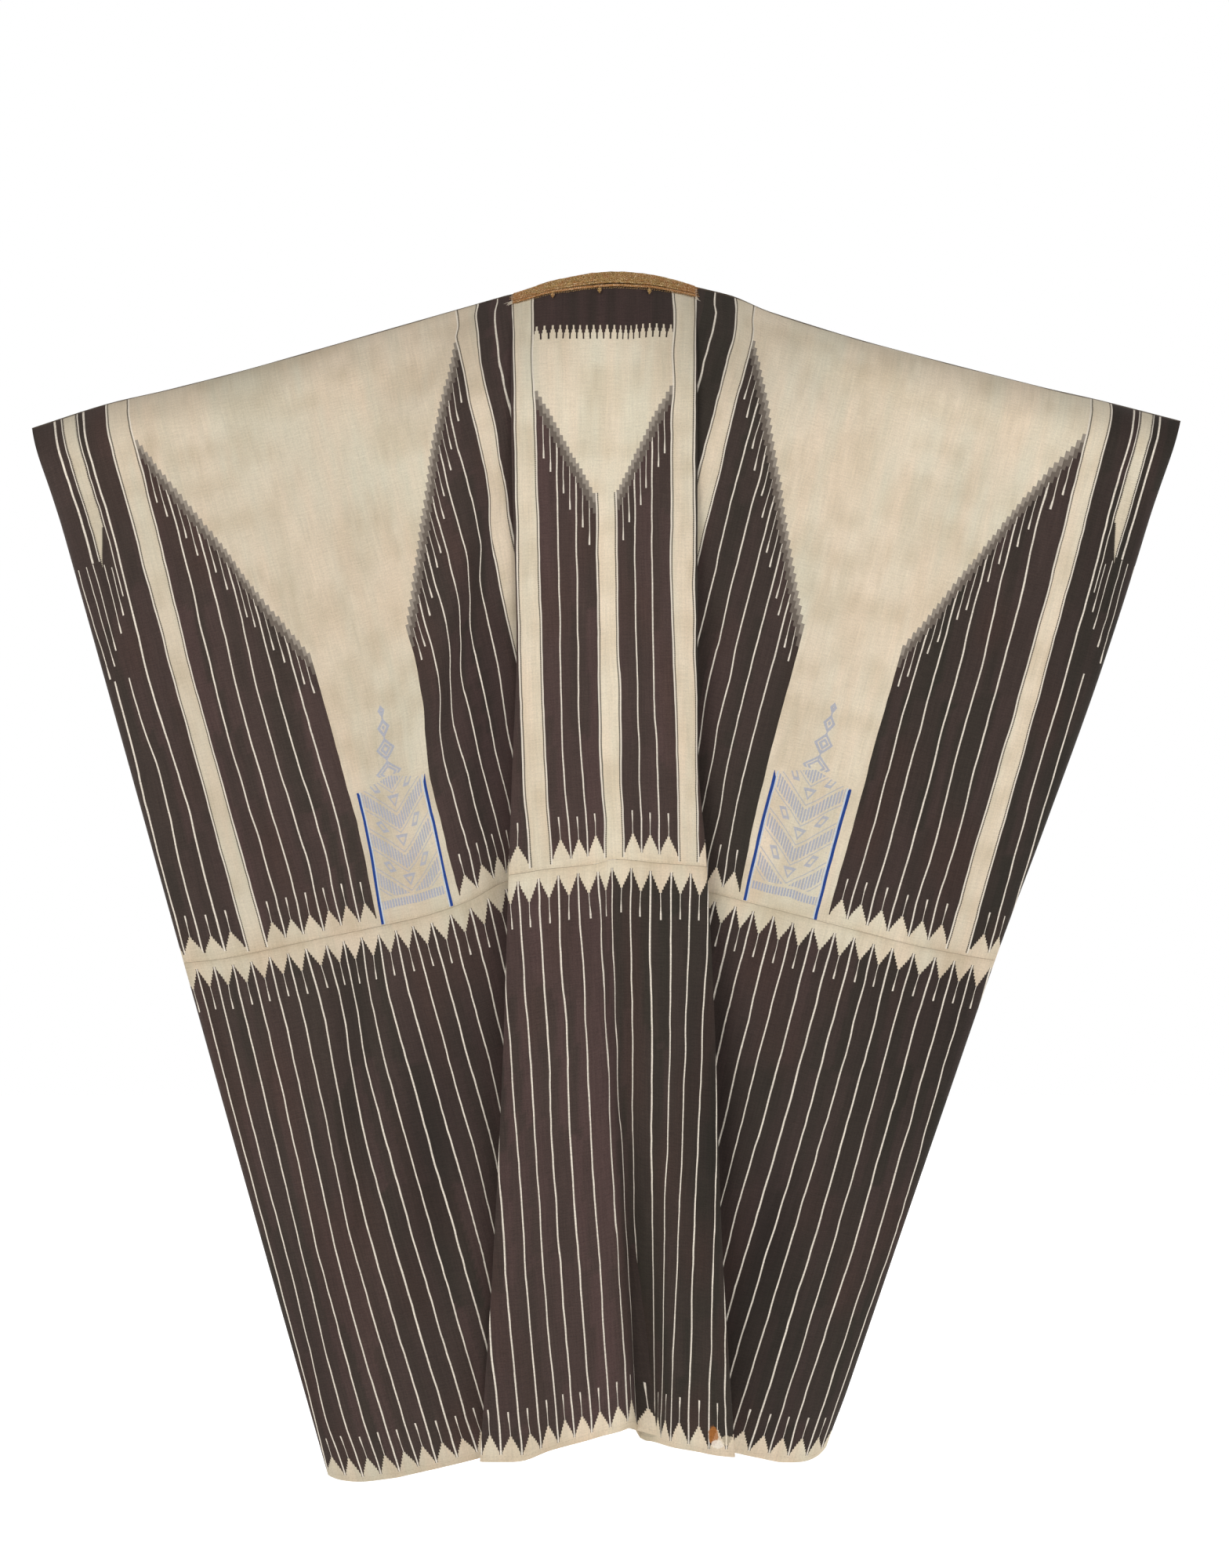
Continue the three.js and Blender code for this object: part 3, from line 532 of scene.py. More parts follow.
# Creases: face, side, u and v of both ends, half width, height (a trough below 0).
CREASES = [
    (BACK, LEFT, 150, 34, 255, 138, 9, 3.6),
    (BACK, LEFT, 163, 26, 268, 128, 10, -3.2),
    (BACK, LEFT, 130, 10, 170, 150, 16, 2.0),
    (BACK, RIGHT, 196, 22, 262, 132, 10, 2.2),
    (BACK, RIGHT, 212, 18, 292, 110, 11, -2.0),
    (BACK, RIGHT, 330, 12, 420, 120, 16, 1.8),
    (BACK, LEFT, 205, 262, 345, 520, 15, -6.0),
    (BACK, LEFT, 228, 262, 372, 520, 18, 4.0),
    (BACK, LEFT, 330, 520, 372, 700, 20, 3.0),
    (BACK, LEFT, 460, 560, 500, 860, 24, 3.0),
    (BACK, LEFT, 505, 700, 590, 1040, 26, -5.0),
    (BACK, LEFT, 545, 700, 620, 1010, 26, 4.0),
    (BACK, RIGHT, 215, 350, 262, 640, 16, -4.0),
    (BACK, RIGHT, 300, 560, 320, 860, 26, 3.5),
    (BACK, RIGHT, 470, 980, 430, 1330, 34, -5.0),
    (BACK, RIGHT, 560, 900, 500, 1330, 34, 5.0),
    (FRONT, LEFT, 150, 34, 240, 150, 14, 3.0),
    (FRONT, RIGHT, 190, 26, 262, 140, 14, 3.0),
    (FRONT, LEFT, 300, 520, 340, 900, 26, -5.0),
    (FRONT, RIGHT, 470, 900, 430, 1330, 34, -5.0),
]


def crease_height(face, side, u, v):
    total = 0 * u
    for at_face, at_side, u0, v0, u1, v1, wide, high in CREASES:
        if (at_face, at_side) != (face, side):
            continue
        length = math.hypot(u1 - u0, v1 - v0)
        du, dv = (u1 - u0) / length, (v1 - v0) / length
        on = (u - u0) * du + (v - v0) * dv
        off = (u - u0) * dv - (v - v0) * du
        ends = smooth(-0.15, 0.25, on / length) * (1 - smooth(0.75, 1.15, on / length))
        total = total + high * ends * np.exp(-((off / wide) ** 2))
    return total


def sway(face, side, u, v):
    """Slow uneven waves of heavy cloth, less where it is sewn."""
    seed = 1.7 * face + 0.9 * side
    slow = np.sin(u / 47 + v / 210 + seed) + 0.7 * np.sin(u / 29 - v / 155 + 2.1 * seed)
    slow = slow + 0.5 * np.sin(u / 83 + v / 97 + 4 * seed)
    held = smooth(0, 120, v) * (0.25 + 0.75 * smooth(NECK_HALF, 260, u))
    return 1.1 * slow * held * mix(0.6, 1.3, v / LENGTH)


CLOUD_CELLS = 64
CLOUD = np.random.default_rng(77).random((CLOUD_CELLS, CLOUD_CELLS))


def cloud(x, y, layer=0):
    """Smooth value noise from 0 to 1, one cell to a unit."""
    x, y = np.asarray(x, float) + 13.7 * layer, np.asarray(y, float) + 7.3 * layer
    i, j = np.floor(x).astype(int), np.floor(y).astype(int)
    s, t = smooth(0, 1, x - i), smooth(0, 1, y - j)
    i, after_i, j, after_j = (index % CLOUD_CELLS for index in (i, i + 1, j, j + 1))
    row = mix(CLOUD[i, j], CLOUD[after_i, j], s)
    below = mix(CLOUD[i, after_j], CLOUD[after_i, after_j], s)
    return mix(row, below, t)


def weavers_hand(p, q):
    """Hand weaving isn't straight: the design drifts by part of a thread."""
    drift = 1.5 * (cloud(p / 23, q / 38, 1) - 0.5) + 0.7 * (cloud(p / 9, q / 13, 2) - 0.5)
    return p + drift, q + 3.0 * (cloud(p / 26, q / 60, 3) - 0.5) + 1.2 * (cloud(p / 7, q / 20, 4) - 0.5)


def dye_and_shade_depth(table, p):
    places = np.array([row[0] for row in table], float)
    return np.stack([np.interp(p, places, np.array([row[k] for row in table])) for k in (1, 2)])


# Dye lots of the dark yarn across the warp: p, depth, and how purple against green-black. The lower depth
# towards the wearer's right (p below 0) is partly dye and partly painted shade.
UPPER_DYE_AND_SHADE = ((-700, 0.72, 0.35), (-640, 0.74, 0.3), (-588, 0.82, 0.45), (-450, 0.82, 0.4), (-330, 0.88, 0.3),
             (-188, 0.88, 0.45), (-161, 0.84, 0.2), (-109, 0.95, 0.3), (-81, 1.05, 0.75), (0, 1.06, 0.8),
             (81, 1.08, 0.85), (109, 1.0, 0.6), (188, 1.0, 0.7), (330, 0.98, 0.55), (449, 1.02, 0.5),
             (588, 1.0, 0.7), (640, 0.95, 0.45), (700, 0.9, 0.35))
LOWER_DYE_AND_SHADE = ((-700, 0.74, 0.35), (-520, 0.76, 0.4), (-330, 0.84, 0.55), (-180, 0.86, 0.3), (-120, 0.82, 0.15),
             (-60, 0.86, 0.12), (-30, 0.9, 0.2), (-16, 1.02, 0.8), (40, 1.04, 0.85), (110, 1.0, 0.75),
             (160, 0.88, 0.6), (260, 0.98, 0.7), (400, 1.0, 0.6), (560, 0.98, 0.45), (700, 0.92, 0.4))
CREAMS = (linear("dccbb4"), linear("d3cbb6"), linear("bcab90"))
DARKS = (linear("38322b"), linear("4a3936"), linear("46352f"))
# Painted shade in the hollows of the worn back, where the cloth lies in shadow: x, z, half width, half
# height, depth.
HOLLOWS = ((140, -500, 27, 190, 0.34), (200, -1010, 42, 190, 0.4), (142, -860, 30, 120, 0.22),
           (-127, -950, 30, 180, 0.34), (-193, -1160, 36, 150, 0.26), (150, -30, 40, 60, 0.14),
           (-620, -420, 50, 260, 0.12), (330, -1220, 40, 200, 0.14), (-420, -900, 70, 210, 0.16),
           (255, -640, 26, 110, 0.16), (600, -330, 40, 160, 0.08))


# Painted shade: darker where the HOLLOWS lie and in the troughs of the creases and slow waves.
def painted_hollow_shade(place, fold):
    total = 0.035 * np.clip(-fold, 0, 5)
    for x, z, wide, high, depth in HOLLOWS:
        total = total + depth * np.exp(-(((place[:, 0] - x) / wide) ** 2) - ((place[:, 2] - z) / high) ** 2)
    return np.clip(total, 0, 0.5)[:, None]


def dyed_colours_with_painted_light(lower, p, q):
    """Cream and dark of each place: uneven dye in columns, dye lots across, soil at the waist seam and hem,
    and painted light and shade.
    """
    column = cloud(p / 8.5, q / 75, 5) * 0.5 + cloud(p / 19, q / 150, 6) * 0.5
    lot = cloud(np.floor(p / 11.4) * 3.1, np.floor((q + 90 * cloud(p / 60, 0.5, 8)) / 150) * 2.3, 7)
    slow = cloud(p / 120, q / 140, 9)
    creams, darks = (np.array([code[:3] for code in group]) for group in (CREAMS, DARKS))
    hue = clamp01(1.6 * (column - 0.5) + 0.9 * (slow - 0.5) + 0.5)[..., None]
    cream = mix(creams[0], creams[1], hue)
    shade = clamp01(0.5 * cloud(p / 6.5, q / 32, 10) + 0.7 * cloud(p / 40, q / 22, 11) - 0.42)[..., None]
    cream = mix(cream, creams[2], shade * 0.8)
    # The depth darkens the dark yarn for dye, and on the wearer's right also as painted shade.
    depth, purple = dye_and_shade_depth(LOWER_DYE_AND_SHADE if lower else UPPER_DYE_AND_SHADE, p)
    purple = clamp01(purple + 0.75 * (lot - 0.5) + 0.35 * (slow - 0.5))
    dark = mix(darks[0], darks[1], purple[..., None])
    dark = mix(dark, darks[2], clamp01(1.7 * cloud(p / 33, q / 90, 12) - 0.95)[..., None])
    dark = dark * (depth * (1 + 0.16 * (lot - 0.5) + 0.14 * (column - 0.5)))[..., None]
    # Painted light and shade that even out the key light from the wearer's left: cream darker towards the
    # wearer's left, lighter at the middle and towards the wearer's right.
    right = 0.06 * smooth(-130, -260, p)
    cream = cream * (1 - 0.07 * smooth(150, 520, p) + 0.1 * np.exp(-((p / 90) ** 2)) + right)[..., None]
    end = np.minimum(np.abs(q - UPPER_DEEP), np.abs(LENGTH - q))
    if not lower:
        # Painted shade: the dark yarn of the yoke, which faces up towards the lamps, is made darker.
        dark = dark * (1 - 0.34 * (q < 90) * (np.abs(p) < 82))[..., None]
        # Cream darker towards the shoulder edge.
        cream = cream * (1 - 0.13 * np.exp(-q / 16))[..., None]
    soil = 0.10 * np.exp(-end / 9) * (0.4 + cloud(p / 24, q / 12, 13)) + 0.05 * cloud(p / 70, q / 50, 14)
    tint = 1 - soil[..., None] * np.array([0.9, 1.25, 1.7])
    return cream * tint, dark * (1 - 0.3 * soil[..., None])


def strip_grid(levels, lower):
    """Places, design coordinates and colours of a whole strip, row by row: dyed colours with painted light
    and shade.
    """
    rows = []
    for v in levels:
        row = []
        for face, side in ((FRONT, LEFT), (BACK, LEFT), (BACK, RIGHT), (FRONT, RIGHT)):
            u, place, fold_u = half_row(face, side, v, FRONT_CELLS if face == FRONT else BACK_CELLS)
            free = clamp01((fold_u - u) / 60)
            ease = crease_height(face, side, u, v) + sway(face, side, u, v)
            pucker = 0.9 * (cloud(side * u / 21, v / 16, 15) - 0.5)
            pucker = pucker + 0.6 * (cloud(side * u / 11, v / 30, 16) - 0.5)
            place[:, 1] += face * (ease + pucker * smooth(0, 30, v)) * free
            if face == BACK:
                p = design_across(lower, side * u, v)
                q = np.full(len(u), v)
            else:
                p = side * u
                q = v + NECK_DROP * np.maximum(0, 1 - (u / NECK_HALF) ** 2) * (1 - min(1, v / UPPER_DEEP))
            cream, dark = dyed_colours_with_painted_light(lower, p, q)
            # Painted shade in the hollows and troughs, half as strong on the front.
            shade = painted_hollow_shade(place, ease) * (0.5 + 0.5 * (face == BACK))
            cream, dark = cream * (1 - 0.6 * shade), dark * (1 - shade)
            p, q = weavers_hand(p, q)
            p = p + (FRONT_SHIFT if face == FRONT else 0)
            row.append((place, np.stack([p, q], -1), cream, dark))
        rows.append(row)
    return rows


def cloth_piece(name, levels, lower, zone_of=None):
    """One loom width: a grid laid over the worn shape, split at the hand slits, with its wall."""
    cloth = strip_grid(levels, lower)
    counts = (sum(FRONT_CELLS), sum(BACK_CELLS), sum(BACK_CELLS), sum(FRONT_CELLS))
    starts = np.cumsum((0,) + counts)
    columns, rows = int(starts[-1]) + 1, len(levels)
    bm = bmesh.new()
    bmesh.ops.create_grid(bm, x_segments=columns - 1, y_segments=rows - 1, size=0.5)

    def cell(vert):
        return round((vert.co.x + 0.5) * (columns - 1)), round((0.5 - vert.co.y) * (rows - 1))

    def on_slit(edge):
        (column, row), (other, other_row) = (cell(end) for end in edge.verts)
        lowest = levels[max(row, other_row)]
        return column == other and column in (starts[1], starts[3]) and lowest < HAND_SLIT + 1

    bmesh.ops.split_edges(bm, edges=[edge for edge in bm.edges if on_slit(edge)])

    where = {}
    map_layer = bm.loops.layers.uv.new("cloth")
    # The cream and dark attributes hold dyed and soiled colours with painted light and shade.
    cream_layer = bm.loops.layers.float_color.new("cream")
    dark_layer = bm.loops.layers.float_color.new("dark")
    for face in bm.faces:
        cells = [cell(vert) for vert in face.verts]
        quarter = int(np.searchsorted(starts, min(column for column, _ in cells), side="right") - 1)
        centre = np.zeros(2)
        for loop, (column, row) in zip(face.loops, cells):
            index = column - starts[quarter] if quarter in (0, 2) else starts[quarter + 1] - column
            place, design, cream, dark = (values[index] for values in cloth[row][quarter])
            where.setdefault(loop.vert, place)
            loop[map_layer].uv = design * MM
            loop[cream_layer] = (*cream, 1.0)
            loop[dark_layer] = (*dark, 1.0)
            centre += design / 4
        if zone_of:
            p = centre[0] - (FRONT_SHIFT if centre[0] > FRONT_SHIFT / 2 else 0)
            face.material_index = zone_of(abs(p), centre[1])
    for vert, place in where.items():
        vert.co = place * MM
    bm.normal_update()
    middle = min(bm.faces, key=lambda face: abs(face.calc_center_median().x) - face.calc_center_median().y)
    if middle.normal.y < 0:
        bmesh.ops.reverse_faces(bm, faces=bm.faces)
    mesh = bpy.data.meshes.new(name)
    bm.to_mesh(mesh)
    bm.free()
    mesh.shade_smooth()
    piece = bpy.data.objects.new(name, mesh)
    scene.collection.objects.link(piece)
    wall = piece.modifiers.new("wall", "SOLIDIFY")
    wall.thickness = CLOTH * MM
    wall.offset = 0
    piece.modifiers.new("even shading", "WEIGHTED_NORMAL")
    return piece


# ---------------------------------------------------------------- shader wiring


class Wire:
    """A value in a node tree, so that sums and comparisons read as they would on paper."""

    def __init__(self, tree, socket):
        self.tree, self.socket = tree, socket

    def math(self, operation, *others):
        node = self.tree.nodes.new("ShaderNodeMath")
        node.operation = operation
        for slot, value in zip(node.inputs, (self, *others)):
            feed(slot, value)
        return Wire(self.tree, node.outputs[0])

    def __rsub__(self, other):
        return (self * -1.0) + other

    def within(self, low, high):
        return self.math("COMPARE", (low + high) / 2, (high - low) / 2)

    def rise(self, low, high):
        """0 below low, 1 above high, smooth between."""
        node = self.tree.nodes.new("ShaderNodeMapRange")
        node.interpolation_type = "SMOOTHSTEP"
        for label, value in (("Value", self), ("From Min", low), ("From Max", high)):
            feed(node.inputs[label], value)
        return Wire(self.tree, node.outputs[0])


def operator(operation):
    return lambda wire, *others: wire.math(operation, *others)


for method, operation in {
    "__add__": "ADD", "__radd__": "ADD", "__sub__": "SUBTRACT", "__mul__": "MULTIPLY", "__rmul__": "MULTIPLY",
    "__truediv__": "DIVIDE", "__gt__": "GREATER_THAN", "__lt__": "LESS_THAN", "size": "ABSOLUTE",
    "floor": "FLOOR", "fraction": "FRACT", "least": "MINIMUM", "most": "MAXIMUM",
}.items():
    setattr(Wire, method, operator(operation))


def feed(slot, value):
    if isinstance(value, Wire):
        value.tree.links.new(value.socket, slot)
    else:
        slot.default_value = value


def blend_colour(amount, first, second):
    node = amount.tree.nodes.new("ShaderNodeMix")
    node.data_type = "RGBA"
    for slot, value in (("Factor", amount), (6, first), (7, second)):
        feed(node.inputs[slot], value)
    return Wire(amount.tree, node.outputs[2])


def place(x, y, z=0.0):
    node = x.tree.nodes.new("ShaderNodeCombineXYZ")
    for slot, value in zip(node.inputs, (x, y, z)):
        feed(slot, value)
    return Wire(x.tree, node.outputs[0])


def axes_in_mm(vector, count):
    """The first axes of a vector that is in metres."""
    node = vector.tree.nodes.new("ShaderNodeSeparateXYZ")
    feed(node.inputs[0], vector)
    return [Wire(vector.tree, node.outputs[i]) / MM for i in range(count)]


def noise(vector, scale=1.0, detail=2.0):
    node = vector.tree.nodes.new("ShaderNodeTexNoise")
    for label, value in (("Vector", vector), ("Scale", scale), ("Detail", detail)):
        feed(node.inputs[label], value)
    return Wire(vector.tree, node.outputs[0])


def chance(x, y):
    """One even random value for each whole x and y."""
    node = x.tree.nodes.new("ShaderNodeTexWhiteNoise")
    node.noise_dimensions = "3D"
    feed(node.inputs["Vector"], place(x, y))
    return Wire(x.tree, node.outputs["Value"])


def node_group(name, inputs, outputs):
    """An empty group with its sockets, each a number unless KINDS says more.

    Gives its input wires by name, and a function that feeds its outputs and gives the finished group.
    """
    tree = bpy.data.node_groups.new(name, "ShaderNodeTree")
    for side, labels in (("INPUT", inputs), ("OUTPUT", outputs)):
        for label in labels:
            kind = KINDS.get(label, "NodeSocketFloat")
            tree.interface.new_socket(name=label, in_out=side, socket_type=kind)
    source = tree.nodes.new("NodeGroupInput")
    sink = tree.nodes.new("NodeGroupOutput")

    def finish(*values):
        for label, value in zip(outputs, values, strict=True):
            feed(sink.inputs[label], value)
        return tree

    return {label: Wire(tree, source.outputs[label]) for label in inputs}, finish


def use_group(group, **values):
    """Places a group in the tree of the wires it is fed with. Gives its outputs by name."""
    tree = next(value.tree for value in values.values() if isinstance(value, Wire))
    node = tree.nodes.new("ShaderNodeGroup")
    node.node_tree = group
    for label, value in values.items():
        feed(node.inputs[label.replace("_", " ")], value)
    return {socket.name: Wire(tree, socket) for socket in node.outputs}


KINDS = {"Colour": "NodeSocketColor", "Place": "NodeSocketVector"}

# ---------------------------------------------------------------- parts of the woven design

THREAD_SOFT = 0.3
DOT_PITCH = 2.2


def line(distance, half):
    """A line of the given half width, with soft yarn edges."""
    return distance.size().rise(half + THREAD_SOFT, half - THREAD_SOFT)


def stepped_block_group():
    """A dark block whose top is a flight of steps, greyed under each step, with pinstripes and drips.

    In is the distance in from the block's high side.
    """
    wire, finish = node_group("stepped block", ("In", "Down", "Wide", "Cell", "Top", "Step", "Grey deep"),
                              ("Dark", "Grey", "Tone", "Line"))
    into, down, wide, cell = wire["In"], wire["Down"], wire["Wide"], wire["Cell"]
    inside = (into > 0.0) * (into < wide)
    column = (into / cell).floor()
    luck = chance(column, 3.0)
    below = down - (wire["Top"] + column * wire["Step"] + luck * 1.6)
    grey_deep = wire["Grey deep"] + luck * 3.0
    started = inside * (below > 0.0)
    dark = started * (below > grey_deep)
    grey = started - dark
    tone = below.rise(grey_deep * 0.42, grey_deep * 0.5)
    # Lines stand between every second pair of columns, and every third line is a whole pinstripe.
    pair = cell * 2.0
    count = (into / pair + 0.5).floor()
    off = into - count * pair
    last = (wide / pair + 0.5).floor()
    used = (count > 0.5) * (count < last - 0.5)
    whole = (count / 3.0 + 0.01).fraction() < 0.1
    along_line = down - (wire["Top"] + (count * 2.0 - 1.0) * wire["Step"])
    reach = 64.0 + chance(count, 5.0) * 12.0 + whole * 2000.0
    half = 0.42 + (along_line - reach).rise(-18.0, -3.0) * 0.5 + whole * 0.43
    drip = line(off, half) * (along_line > 5.0) * (along_line < reach)
    return finish(dark, grey, tone, drip * used)


def tooth_row_group():
    """Cream teeth between dark points, with a thin spike standing on each tooth.

    Turns counts the dark points across, and Away is measured from the seam or hem of the teeth.
    """
    wire, finish = node_group("tooth row", ("Turns", "Away", "Pitch", "Point", "Tip", "Spike end"),
                              ("Cream", "Spike"))
    turns, away = wire["Turns"], wire["Away"]
    off = (turns - (turns + 0.5).floor()).size() * 2.0
    level = (off * 7.0).floor() / 6.0
    luck = chance(turns.floor(), 2.0) * 2.0
    height = wire["Point"] + (wire["Tip"] + luck - wire["Point"]) * level
    cream = away < height - (off < 0.19) * 1.6
    tooth_off = (turns.fraction() - 0.5) * wire["Pitch"]
    far = wire["Spike end"] + luck * 2.0
    half = 0.36 + (away - far).rise(-16.0, -3.0) * 0.5
    spike = line(tooth_off, half) * (away < far) * (away > wire["Tip"] - 3.0)
    return finish(cream, spike)


def band_edge_group():
    """The edge of an outlined cream band: a white line outside it and a dotted dark line just inside.

    In is the distance into the band, below 0 outside it.
    """
    wire, finish = node_group("band edge", ("In", "Down"), ("White", "Dots"))
    dotted = (wire["Down"] / DOT_PITCH).fraction() < 0.66
    return finish(line(wire["In"] - 0.6, 0.8), line(wire["In"] - 2.3, 0.7) * (0.4 + dotted * 0.6))


STEPPED_BLOCK = stepped_block_group()
TOOTH_ROW = tooth_row_group()
BAND_EDGE = band_edge_group()

CENTRE_HALF = 12.0
BAND_1 = (81.0, 109.0)
BAND_2 = (161.0, 188.0)
BAND_3 = (588.0, 615.0)
INNER_BLOCK = (188.0, 330.0)
OUTER_BLOCK = (449.0, 588.0)
YOKE_DEEP = 66.0
SEAM_TOOTH = {"Pitch": 23.67, "Point": 11.0, "Tip": 29.0, "Spike_end": 55.0}


def upper_teeth(q, turns):
    return use_group(TOOTH_ROW, Turns=turns, Away=UPPER_DEEP - q, **SEAM_TOOTH)


def with_edge(marks, q, into):
    """Adds the outline of a cream band to a zone's marks."""
    shown = (UPPER_DEEP - 3.5) - q > 0.0
    edge = use_group(BAND_EDGE, In=into, Down=q)
    marks["Pale"] = marks["Pale"] + edge["White"] * shown
    marks["Dots"] = edge["Dots"] * shown
    return marks


def block_marks(q, into, wide, columns, top, step, grey_deep):
    block = use_group(STEPPED_BLOCK, In=into, Down=q, Wide=wide, Cell=wide / columns, Top=top, Step=step,
                      Grey_deep=grey_deep)
    teeth = upper_teeth(q, into / (wide / round(wide / 23.5)))
    ground = 1 - teeth["Cream"]
    dark = block["Dark"] * ground
    return {"Dark": dark, "Grey": block["Grey"], "Tone": block["Tone"],
            "Pale": (block["Line"] + teeth["Spike"]).least(1.0) * dark}


# A zone takes p, q and whether the place is on the robe's front, and gives its woven marks by name.
def middle_zone(p, q, front):
    a = p.size()
    marks = block_marks(q, BAND_1[0] - a, BAND_1[0] - CENTRE_HALF, columns=18,
                        top=142.0 + (p > 0.0) * 3.0, step=6.85, grey_deep=21.5)
    marks = with_edge(marks, q, (a - BAND_1[0]).most(CENTRE_HALF - a - (q < 262.0) * 60.0))
    # The yoke: dark across the middle of the back, ending in a row of small spires.
    spire = (((p + 4.0) / 7.75).fraction() - 0.5).size() * 2.0
    end = YOKE_DEEP - 1.0 + ((spire > 0.24) * 5.5 + (spire > 0.5) * 4.0 + (spire > 0.76) * 8.0)
    yoke = (a < BAND_1[0] - 0.5) * (q < end) * (1 - front)
    marks["Dark"] = marks["Dark"].most(yoke)
    return marks


def first_strip_zone(p, q, front):
    a = p.size()
    turns = ((a - BAND_1[1]) / 18.5).least(1.0) + ((a - 127.5) / 12.5).most(0.0).least(1.0) + (
        (a - 140.0) / 21.0).most(0.0)
    teeth = upper_teeth(q, turns)
    dark = a.within(BAND_1[1], BAND_2[0]) * (1 - teeth["Cream"])
    stripes = line(a - 140.0, 0.88) + line(a - 127.5, 0.88) * (q > 560.0) + teeth["Spike"]
    marks = {"Dark": dark, "Pale": stripes.least(1.0) * dark}
    return with_edge(marks, q, (BAND_1[1] - a).most(a - BAND_2[0]))


def inner_block_zone(p, q, front):
    into = p.size() - INNER_BLOCK[0]
    marks = block_marks(q, into, INNER_BLOCK[1] - INNER_BLOCK[0], columns=36, top=60.0,
                        step=8.62, grey_deep=24.5)
    return with_edge(marks, q, into * -1.0)


def outer_block_zone(p, q, front):
    into = OUTER_BLOCK[1] - p.size()
    marks = block_marks(q, into, OUTER_BLOCK[1] - OUTER_BLOCK[0], columns=36,
                        top=64.0 + (p > 0.0) * 5.0, step=8.3, grey_deep=23.0)
    return with_edge(marks, q, into * -1.0)


# Drips at the side: where each ends towards its neighbour, its place, and its q from and to. A colour
# ramp holds them, so its places and values are shares of these spans.
SIDE_FROM, SIDE_SPAN, DRIP_SPAN = 640.0, 80.0, 400.0
SIDE_DRIPS = ((656.0, 652.0, 205.0, 262.0), (666.0, 660.0, 199.0, 281.0), (676.0, 672.0, 195.0, 299.0),
              (685.0, 680.0, 196.0, 316.0), (720.0, 690.0, 196.0, 330.0))


def side_zone(p, q, front):
    a = p.size()
    strip = a > BAND_3[1]
    panel_in = (a - 648.6 - (q - 156.0).most(0.0) * 0.27 - (q > 156.0) * 1.6).least(662.6 - a)
    panel = panel_in > 0.0
    table = p.tree.nodes.new("ShaderNodeValToRGB")
    ramp = table.color_ramp
    ramp.interpolation = "CONSTANT"
    start_at = SIDE_FROM
    for index, (until, centre, start, end) in enumerate(SIDE_DRIPS):
        element = ramp.elements[0] if index == 0 else ramp.elements.new((start_at - SIDE_FROM) / SIDE_SPAN)
        element.color = ((centre - SIDE_FROM) / SIDE_SPAN, start / DRIP_SPAN, end / DRIP_SPAN, 1.0)
        start_at = until
    ramp.elements[-1].color = ramp.elements[-2].color
    feed(table.inputs[0], (a - SIDE_FROM) / SIDE_SPAN)
    parts = p.tree.nodes.new("ShaderNodeSeparateColor")
    feed(parts.inputs[0], Wire(p.tree, table.outputs[0]))
    drip_at, drip_from, drip_to = (Wire(p.tree, parts.outputs[i]) for i in range(3))
    below_end = q - drip_to * DRIP_SPAN
    drip = line(a - SIDE_FROM - drip_at * SIDE_SPAN, 0.45 + below_end.rise(-18.0, -4.0) * 0.45)
    drip = drip * (q > drip_from * DRIP_SPAN) * (below_end < 0.0) * (a > 649.0)
    top = (line(a - 671.6, 1.1) + line(a - 664.0, 0.55)) * (q < 194.0)
    late = (line(a - 665.0, 0.88) + line(a - 686.0, 0.88)) * (q > 334.0)
    short = line(a - 646.8, 0.6) * (q < 240.0)
    teeth = upper_teeth(q, (a - BAND_3[1] - 1.0) / 23.67)
    dark = strip * (1 - teeth["Cream"]) * (1 - panel)
    stripes = line(a - 640.0, 1.05) + drip + top + late + short + teeth["Spike"]
    marks = with_edge({"Dark": dark, "Pale": stripes.least(1.0) * dark}, q, BAND_3[1] - a)
    marks["Dots"] = marks["Dots"] + line(panel_in - 0.5, 0.45) * ((q / DOT_PITCH).fraction() < 0.6)
    return marks


BAR_TOP = 533.0
BAR_HALF = 1.9
LATTICE_PITCH = 47.0
TOWER_TOP = 442.0


